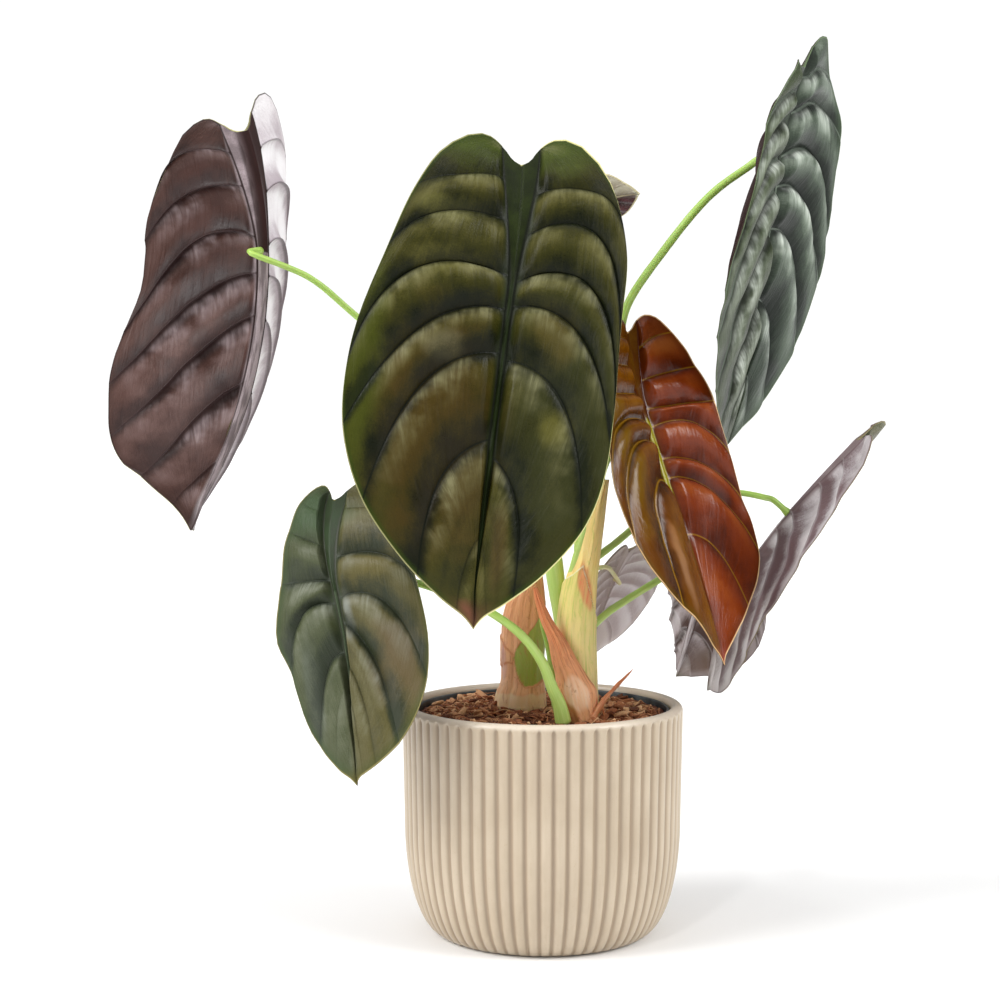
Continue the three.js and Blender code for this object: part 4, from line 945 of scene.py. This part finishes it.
def stem_piece(name, stations, sheets, patches, seed, crease=0.3, rough=1.0):
    """A lofted stem. sheets are sheaths around it, (above or below, corners (angle, z) of its edge,
    thickness), rough the roughness of that edge; patches are named soft spots, (angle, half angle, z,
    half height, slope in mm a degree). 270 faces front."""
    stations = np.array(stations, float)
    at = np.linspace(0, len(stations) - 1, STEM_LEVELS)
    rows = np.stack([catmull(stations[:, k], at) for k in range(5)], -1)[:, None]
    noise = Bumps(seed, 11)
    z = rows[..., 2] + np.zeros(STEM_SIDES)
    a = angles(STEM_SIDES)[None, :] + np.zeros((STEM_LEVELS, 1))
    around = np.stack([np.cos(a) * 14, np.sin(a) * 14, z * 0.12], -1)
    push = noise(around, 9.0) * crease + noise(around + 70, 3.2) * 0.3 * crease
    degrees = np.degrees(a)
    sheet = np.zeros_like(z)
    hem = np.full_like(z, 9.0)
    for side, corners, thick in sheets:
        edge = np.interp(degrees, *zip(*corners), period=360) + rough * noise(around * [1, 1, 0], 5.0)
        over = z - edge if side == "above" else edge - z
        mask = smoothstep(-0.25, 0.45, over)
        push += thick * mask * (1 + 0.4 * smoothstep(3, 0, over))
        sheet = np.maximum(sheet, mask)
        hem = np.where(np.abs(over) < np.abs(hem), over, hem)
    share = (z - z.min()) / (z.max() - z.min())
    values = dict(sheet=sheet, hem=hem, share=share, around=a / (2 * math.pi))
    for key, (middle, half, height, tall, slope) in patches.items():
        off = (degrees - middle + 180) % 360 - 180
        far = (off / half) ** 2 + ((z - height - slope * off) / tall) ** 2 + 0.25 * noise(around + 30, 7.0)
        values[key] = smoothstep(1.3, 0.6, far)
    x = rows[..., 0] + np.cos(a) * (rows[..., 3] + push)
    y = rows[..., 1] + np.sin(a) * (rows[..., 4] + push)
    points = np.stack([x, y, z], -1).reshape(-1, 3)
    values = {key: value.ravel() for key, value in values.items()}
    return mesh_piece(name, points, tube_faces(STEM_LEVELS, STEM_SIDES), values)


def sheath_paint(name, bare, sheet, blush_and_highlight, foot, hem):
    """bare and sheet are (low, high, streak) colours; the other three the colours of a soft patch, the foot
    and the hem.
    The soft patch is the stem's own flush on the left and right stems, a painted highlight on the front
    sheath.
    """
    paint = Paint(name, Specular_IOR_Level=0.4, Subsurface_Weight=0.15, Subsurface_Scale=0.004)
    share, around = paint.value("share"), paint.value("around")
    streaks = paint.noise(paint.vector(around * 18.0, share * 2.2), 2.4, 4, 0.62, 0.3)
    folds = paint.noise(paint.vector(around * 9.0, share * 5.0), 1.7, 4, 0.62, 1.6)
    cloud = paint.noise(paint.place(), 70.0, 3, 0.55)

    def shade(colours, amount):
        low, high, streak = colours
        colour = paint.mix(paint.span(share + cloud * 0.3, 0.3, 1.05), low, high)
        return paint.layered(colour, (streaks, 0.45, 0.72, amount, streak))

    colour = paint.mix(paint.value("sheet"), shade(bare, 0.5), shade(sheet, 0.6))
    colour = paint.mix(paint.value("foot") * 0.85, colour, foot)
    blot = paint.value("blush_and_highlight") * paint.span(streaks, 0.3, 0.7, 0.35, 0.9)
    colour = paint.mix(blot, colour, blush_and_highlight)
    colour = paint.layered(colour, (folds, 0.58, 0.68, 0.45, sheet[2]))
    over = paint.value("hem")
    colour = paint.mix(paint.span(over, -0.5, 0.0) * paint.span(over, 1.2, 0.4) * 0.7, colour, hem)
    rough = paint.span(streaks, 0.3, 0.75, 0.36, 0.56)
    normal = paint.bump(streaks, 0.35, 0.5)
    return paint.finish(colour, rough, paint.bump(folds, 0.9, 0.6, normal))


PEACH = ((252, 200, 150), (236, 170, 118), (190, 118, 74))
left_paint = sheath_paint(
    "peach_sheath", ((160, 176, 70), (172, 188, 84), (200, 196, 106)), PEACH,
    blush_and_highlight=(200, 140, 124), foot=(250, 222, 176), hem=(214, 140, 96))
right_paint = sheath_paint(
    "cream_sheath", ((254, 226, 140), (255, 224, 146), (236, 208, 96)),
    ((240, 216, 148), (228, 216, 122), (178, 194, 76)),
    blush_and_highlight=(232, 122, 86), foot=(244, 186, 122), hem=(254, 246, 206))
# the front sheath's soft patch is a painted highlight, pale on the middle of its front
front_paint = sheath_paint(
    "brown_sheath", PEACH, ((238, 176, 126), (232, 150, 100), (166, 90, 52)),
    blush_and_highlight=(250, 214, 178), foot=(206, 136, 84), hem=(214, 140, 96))
LEFT_SHEETS = [
    ("above", [(60, 150), (180, 131), (240, 134), (250, 141), (275, 147), (300, 152), (319, 157),
               (345, 166)], 0.55),
    ("below", [(60, 126), (180, 147), (240, 139), (250, 130), (260, 125.5), (275, 122.5), (300, 122),
               (330, 124)], 0.6),
]
RIGHT_SHEETS = [
    ("below", [(90, 170), (180, 176), (240, 182), (262, 184.5), (285, 178), (310, 169), (338, 160),
               (360, 158)], 0.7),
]
FRONT_SHEETS = [("above", [(0, 60), (359, 60)], 0.1)]
left_patches = dict(foot=(270, 200, 113, 5, 0), blush_and_highlight=(205, 22, 134, 9, 0))
right_patches = dict(foot=(215, 30, 128, 26, 0), blush_and_highlight=(286, 32, 174, 8, -0.24))
# the front sheath's second patch faces the front: a painted highlight
front_patches = dict(foot=(200, 60, 112, 8, 0), blush_and_highlight=(275, 40, 124, 9, 0))
left_stem = stem_piece("left_stem_skin", LEFT_STEM, LEFT_SHEETS, left_patches, 21, 0.6, 0.8)
right_stem = stem_piece("right_stem_skin", RIGHT_STEM, RIGHT_SHEETS, right_patches, 22, rough=0.35)
front_sheath = stem_piece("front_sheath_skin", FRONT_SHEATH, FRONT_SHEETS, front_patches, 23, 0.5)
dress(left_stem, left_paint, "left_stem")
dress(right_stem, right_paint, "right_stem")
dress(front_sheath, front_paint, "front_sheath")

parts = Parts()
spike = spline([(21.5, -34.6, 99), (23, -34.5, 109), (28.3, -32, 119), (36, -28, 127), (43.7, -23, 134)], 50)
tube_into(parts, spike, lerp(1.9, 0.35, np.linspace(0, 1, 51) ** 1.4), 14, 0.22, 31)
thorn = spline([(27.6, -32.4, 118.5), (28.6, -32.2, 115.5), (29, -32, 112.5)], 12)
tube_into(parts, thorn, lerp(0.9, 0.25, np.linspace(0, 1, 13)), 10, 0.1, 32)
spike_paint = stalk_paint("dry_spike", (204, 138, 88), (178, 100, 58), (232, 176, 124))
dress(parts.piece("dry_spike_skin"), spike_paint, "dry_spike")

parts = Parts()
shoot = spline([(7, -7, 98), (6.5, -7, 115), (5.2, -7, 127), (3.4, -7, 138), (0.8, -6.4, 148),
                (-1.5, -5.5, 156)], 60)
tube_into(parts, shoot, lerp(2.3, 0.5, np.linspace(0, 1, 61) ** 2), 18, 0.1, 33)
dress(parts.piece("slim_shoot_skin"), green_stalk, "slim_shoot")


# Pots. The wall leans out from the base through a rounded corner up to the shoulder
POT_HEIGHT, RIM, WALL, BASE, SHOULDER, CORNER = 114, 70, 68.9, 50, 56.9, 2.05
LIP_CENTRE, LIP_LEVEL, LIP_RADIUS = 66.8, 110.8, 3.2
INSIDE = [(63.6, 108), (63.6, 100), (63.6, 80), (62.9, 56.9), (56, 27), (44, 10), (40, 8), (0.01, 8)]
FLUTES, FLUTE_DEPTH, FLUTE_TOP, FLUTE_TURN = 64, 1.15, 112.6, math.radians(3.1)
FLUTE_COLUMNS = 10


def wall_radius(z):
    drop = np.clip((SHOULDER - z) / SHOULDER, 0, 1)
    low = BASE + (WALL - BASE) * (1 - drop**CORNER) ** (1 / CORNER)
    high = WALL + (RIM - WALL) * (z - SHOULDER) / (POT_HEIGHT - SHOULDER)
    return np.where(z >= SHOULDER, high, low)


def ceramic_pot():
    columns = FLUTES * FLUTE_COLUMNS
    spin = angles(columns) + FLUTE_TURN
    phase = (np.arange(columns) / FLUTE_COLUMNS + 0.5) % 1 - 0.5
    groove = 0.8 * np.exp(-((phase / 0.16) ** 2)) + 0.5 * (1 + np.cos(2 * math.pi * phase)) / 2
    levels = [np.linspace(2, 58, 44), np.linspace(60, 103, 16), np.linspace(104, 110.6, 14)]
    foot = [(0.0, -0.9), (0.25, -0.3), (0.8, 0.0)]
    outer = foot + [(z, 0.0) for z in np.concatenate(levels)]
    profile = [(wall_radius(z) + lift, z, True) for z, lift in outer]
    for turned in math.pi * np.linspace(0, 1, 21)[1:]:
        out, up = LIP_RADIUS * math.cos(turned), LIP_RADIUS * math.sin(turned)
        profile.append((LIP_CENTRE + out, LIP_LEVEL + up, turned < 1.2))
    profile += [(radius, z, False) for radius, z in INSIDE]
    arch = FLUTE_TOP - 2.6 * np.abs(phase / 0.3) ** 2
    rings, depths, heights = [], [], []
    for radius, z, fluted in profile:
        fade = smoothstep(0, 2.2, arch - z) * smoothstep(-1.0, 3.0, z) if fluted else 0.0
        rings.append(ring(radius - FLUTE_DEPTH * groove * fade, spin, z))
        depths.append(groove * fade)
        heights.append(np.full(columns, z))
    faces = grid_faces(len(profile), columns).tolist() + [list(range(columns))[::-1]]
    values = dict(groove=np.concatenate(depths), level=np.concatenate(heights))
    return mesh_piece("ceramic_pot_skin", np.concatenate(rings), faces, values)


def ceramic_paint():
    paint = Paint("beige_glaze", Specular_IOR_Level=0.5, Coat_Weight=0.4, Coat_Roughness=0.22)
    place = paint.place()
    cloud = paint.noise(place, 28.0, 4, 0.6)
    tall = paint.noise(paint.scaled(place, (260.0, 260.0, 26.0)), 1.0, 3, 0.6)
    speck = paint.noise(place, 900.0, 2, 0.5)
    colour = paint.mix(paint.span(cloud, 0.3, 0.7), (182, 165, 141), (192, 176, 153))
    colour = paint.layered(
        colour, (tall, 0.4, 0.75, 0.35, (168, 150, 127)),
        # painted shade: the flute grooves darker and browner
        (paint.value("groove"), 0.15, 1.2, 0.75, (146, 125, 101)),
        (paint.value("level"), 110.5, 113.5, 0.6, (222, 210, 194)),
        (speck, 0.62, 0.75, 0.25, (170, 146, 118)))
    normal = paint.bump(speck, 0.05, 0.4, paint.bump(cloud, 0.25, 0.35))
    return paint.finish(colour, paint.span(cloud, 0.3, 0.7, 0.34, 0.46), normal)


dress(ceramic_pot(), ceramic_paint(), "ceramic_pot")


def nursery_pot():
    """A thin plastic pot with a rolled rim, (radius, level) from the middle of its foot and back."""
    profile = [(0.01, 8.3), (43, 8.3), (44, 9.4), (60.6, 103), (61.2, 104.2), (62.9, 105), (63.2, 105.8),
               (63.2, 108), (63.2, 110.9)]
    profile += [(62.5 + 0.7 * math.cos(a), 110.9 + 0.7 * math.sin(a)) for a in np.linspace(0.3, math.pi, 7)]
    profile += [(61.8, 109), (61.8, 106.2), (61.2, 105.4), (59.2, 103), (42.6, 9.7), (0.01, 9.7)]
    around = angles(160)
    points = np.concatenate([ring(radius, around, z) for radius, z in profile])
    return mesh_piece("nursery_pot_skin", points, grid_faces(len(profile), len(around)).tolist())


def plastic_paint():
    paint = Paint("dark_plastic", Specular_IOR_Level=0.5)
    grain = paint.noise(paint.place(), 700.0, 3, 0.6)
    dust = paint.noise(paint.place(), 90.0, 4, 0.6)
    colour = paint.mix(paint.span(dust, 0.4, 0.75), (44, 52, 56), (92, 100, 104))
    colour = paint.layered(colour, (grain, 0.6, 0.75, 0.5, (120, 112, 100)))
    return paint.finish(colour, paint.span(dust, 0.3, 0.7, 0.3, 0.5), paint.bump(grain, 0.08, 0.5))


dress(nursery_pot(), plastic_paint(), "nursery_pot")


# Potting mix, and where stems stand in it: centre, then half width and half depth
MIX_RADIUS = 61.4
MIX_LEVEL = 108.4
MIX_SKIRT = ((61.4, 106.6), (58.8, 103), (42.2, 10), (0.02, 10))
STANDING = ((-10.6, 8, 12.2, 11), (18, -18, 8.8, 8.2), (18.4, -30, 8, 5.2), (10.5, -36.5, 5, 5))
CHIPS, CHIP_REACH, CHIP_TOP = 520, 60, 112.6
CHIP_SIZES = ((3.5, 9.5), (1.6, 4.4), (1.0, 2.8))
FIBRES, FIBRE_REACH, FIBRE_TOP, FIBRE_STEP = 620, 58, 113.2, 1.25


def mix_level(x, y, bumps):
    r = np.hypot(x, y) / 61
    place = np.stack([x, y, np.zeros_like(x)], -1)
    return MIX_LEVEL + 1.4 * (1 - r**2) + 0.9 * bumps(place, 18) * (1 - r**6) + 0.5 * bumps(place + 40, 7)


def blocked(x, y, room):
    """True inside a stem, where nothing lies on the mix."""
    return any(((x - cx) / (wide + room)) ** 2 + ((y - cy) / (deep + room)) ** 2 < 1
               for cx, cy, wide, deep in STANDING)


def anywhere(random, reach):
    """A point of the mix, as likely in one place as in another, and how far out it lies."""
    r = reach * math.sqrt(random.uniform())
    a = random.uniform(0, 2 * math.pi)
    return r * math.cos(a), r * math.sin(a), r


def potting_mix():
    random = np.random.default_rng(77)
    bumps = Bumps(5, 11)
    parts = Parts()
    rings, sectors = 56, 150
    radius = np.linspace(0.02, MIX_RADIUS, rings)[:, None]
    angle = angles(sectors)
    x, y = radius * np.cos(angle), radius * np.sin(angle)
    top = np.stack([x, y, mix_level(x, y, bumps)], -1)
    skirt = [ring(r, angle, z) for r, z in MIX_SKIRT]
    points = np.concatenate([top.reshape(-1, 3), *skirt])
    parts.add(points, grid_faces(rings + len(skirt), sectors), tone=0.22)
    for number in range(CHIPS):
        x, y, r = anywhere(random, CHIP_REACH)
        size = np.array([random.uniform(*limits) for limits in CHIP_SIZES]) * 0.5
        if blocked(x, y, size[0] * 0.7) or r + size[0] > CHIP_REACH + 0.6:
            continue
        u = np.linspace(0, math.pi, 8)[:, None]
        v = angles(10)
        ball = np.stack([np.sin(u) * np.cos(v), np.sin(u) * np.sin(v), np.cos(u) + 0 * v], -1)
        ball = np.sign(ball) * np.abs(ball) ** 0.62
        ball = ball * (1 + 0.22 * Bumps(1000 + number, 5)(ball, 1.5)[..., None]) * size
        tip, bank = random.normal(0, 0.32, 2)
        c, s = math.cos(bank), math.sin(bank)
        banked = np.array([[c, 0, s], [0, 1, 0], [-s, 0, c]])
        spin = turn("z", random.uniform(0, 360)) @ turn("x", math.degrees(tip)) @ banked
        lift = mix_level(np.array(x), np.array(y), bumps) + random.uniform(-0.2, 1.5)
        points = ball.reshape(-1, 3) @ spin.T + np.array([x, y, min(lift, CHIP_TOP)])
        parts.add(points, grid_faces(8, 10, flip=True), tone=random.uniform(0.15, 1.0))
    for number in range(FIBRES):
        x, y, r = anywhere(random, FIBRE_REACH)
        if blocked(x, y, 1.5):
            continue
        heading = random.uniform(0, 2 * math.pi)
        bend = random.normal(0, 0.28)
        steps = int(random.integers(7, 15))
        rise = random.uniform(0.6, 2.4)
        path = []
        for i in range(steps):
            arch = rise * math.sin(math.pi * i / (steps - 1))
            path.append((x, y, mix_level(np.array(x), np.array(y), bumps) + 0.4 + arch))
            heading += bend + random.normal(0, 0.3)
            x += FIBRE_STEP * math.cos(heading)
            y += FIBRE_STEP * math.sin(heading)
        path = np.array(path)
        outside = np.hypot(path[:, 0], path[:, 1]) > CHIP_REACH
        if outside.any() or any(blocked(px, py, 0.6) for px, py, _ in path):
            continue
        path[:, 2] = np.minimum(path[:, 2], FIBRE_TOP)
        path = spline(path, 16)
        radius = random.uniform(0.16, 0.5) * np.linspace(1, 0.5, len(path))
        tube_into(parts, path, radius, 5, mapped=False, tone=random.uniform(0.3, 1.0))
    return parts.piece("potting_mix_skin")


def mix_paint():
    paint = Paint("coconut_mix", Specular_IOR_Level=0.35)
    shade = paint.value("tone")
    grain = paint.noise(paint.scaled(paint.place(), (900.0, 900.0, 900.0)), 1.0, 4, 0.65)
    patch = paint.noise(paint.place(), 260.0, 3, 0.6)
    colour = paint.mix(paint.span(shade, 0.15, 0.65), (82, 40, 22), (166, 102, 64))
    colour = paint.layered(
        colour, (shade, 0.6, 1.0, 0.9, (236, 190, 142)), (patch, 0.45, 0.7, 0.45, (96, 48, 26)),
        (grain, 0.52, 0.72, 0.6, (206, 148, 102)))
    return paint.finish(colour, paint.span(grain, 0.3, 0.7, 0.6, 0.85), paint.bump(grain, 0.5, 0.8))


dress(potting_mix(), mix_paint(), "potting_mix")


# Floor and light
FLOOR_REACH = 9000
WHITE = (1, 1, 1, 1)
corners = [(x * FLOOR_REACH, y * FLOOR_REACH, 0) for x, y in ((-1, -1), (1, -1), (1, 1), (-1, 1))]
floor = mesh_piece("floor", corners, [(0, 1, 2, 3)])
paint = Paint("pale_floor", Specular_IOR_Level=0.2)
soft = paint.noise(paint.place(), 3.0, 2, 0.5)
floor.data.materials.append(paint.finish(paint.mix(soft, (240, 240, 240), (243, 243, 243)), 0.7))

scene.view_settings.view_transform = "Standard"
world = bpy.data.worlds.new("studio")
world.use_nodes = True
scene.world = world
sky = Nodes(world.node_tree)
facing = sky.read("SeparateXYZ", "Y", {0: sky.read("TexCoord", "Generated")})
sweep = sky.span(facing, -0.5, 0.8, 0.18, 0.72)
room = sky.tree.nodes["Background"]
sky.feed(room.inputs["Color"], WHITE)
# A darker room in reflections, so that gloss comes from the lamps
sky.feed(room.inputs["Strength"], sweep * (1.0 - sky.read("LightPath", "Is Glossy Ray") * 0.7))
backdrop = sky.read("Background", 0, {"Color": WHITE, "Strength": 1.05})
seen = {0: sky.read("LightPath", "Is Camera Ray"), 1: Field(sky, room.outputs[0]), 2: backdrop}
sky.feed(sky.tree.nodes["World Output"].inputs[0], sky.read("MixShader", 0, seen))

# Wide far lamps: azimuth, 0 from the front and positive from the right, elevation, strength, width
LAMPS = dict(
    left_softbox=(-68, 42, 1.9, 30), right_softbox=(68, 40, 1.7, 30), top_softbox=(-10, 80, 0.9, 60),
    small_window=(-24, 42, 0.32, 4), front_fill=(8, 18, 0.26, 50), left_fill=(-68, 12, 0.85, 40),
    right_fill=(68, 12, 0.45, 40),
)
for name, (azimuth, elevation, strength, width) in LAMPS.items():
    light = bpy.data.lights.new(name, "SUN")
    light.energy = strength
    light.angle = math.radians(width)
    lamp = bpy.data.objects.new(name, light)
    a, e = math.radians(azimuth), math.radians(elevation)
    toward = Vector((math.sin(a) * math.cos(e), -math.cos(a) * math.cos(e), math.sin(e)))
    lamp.rotation_euler = toward.to_track_quat("Z", "Y").to_euler()
    scene.collection.objects.link(lamp)
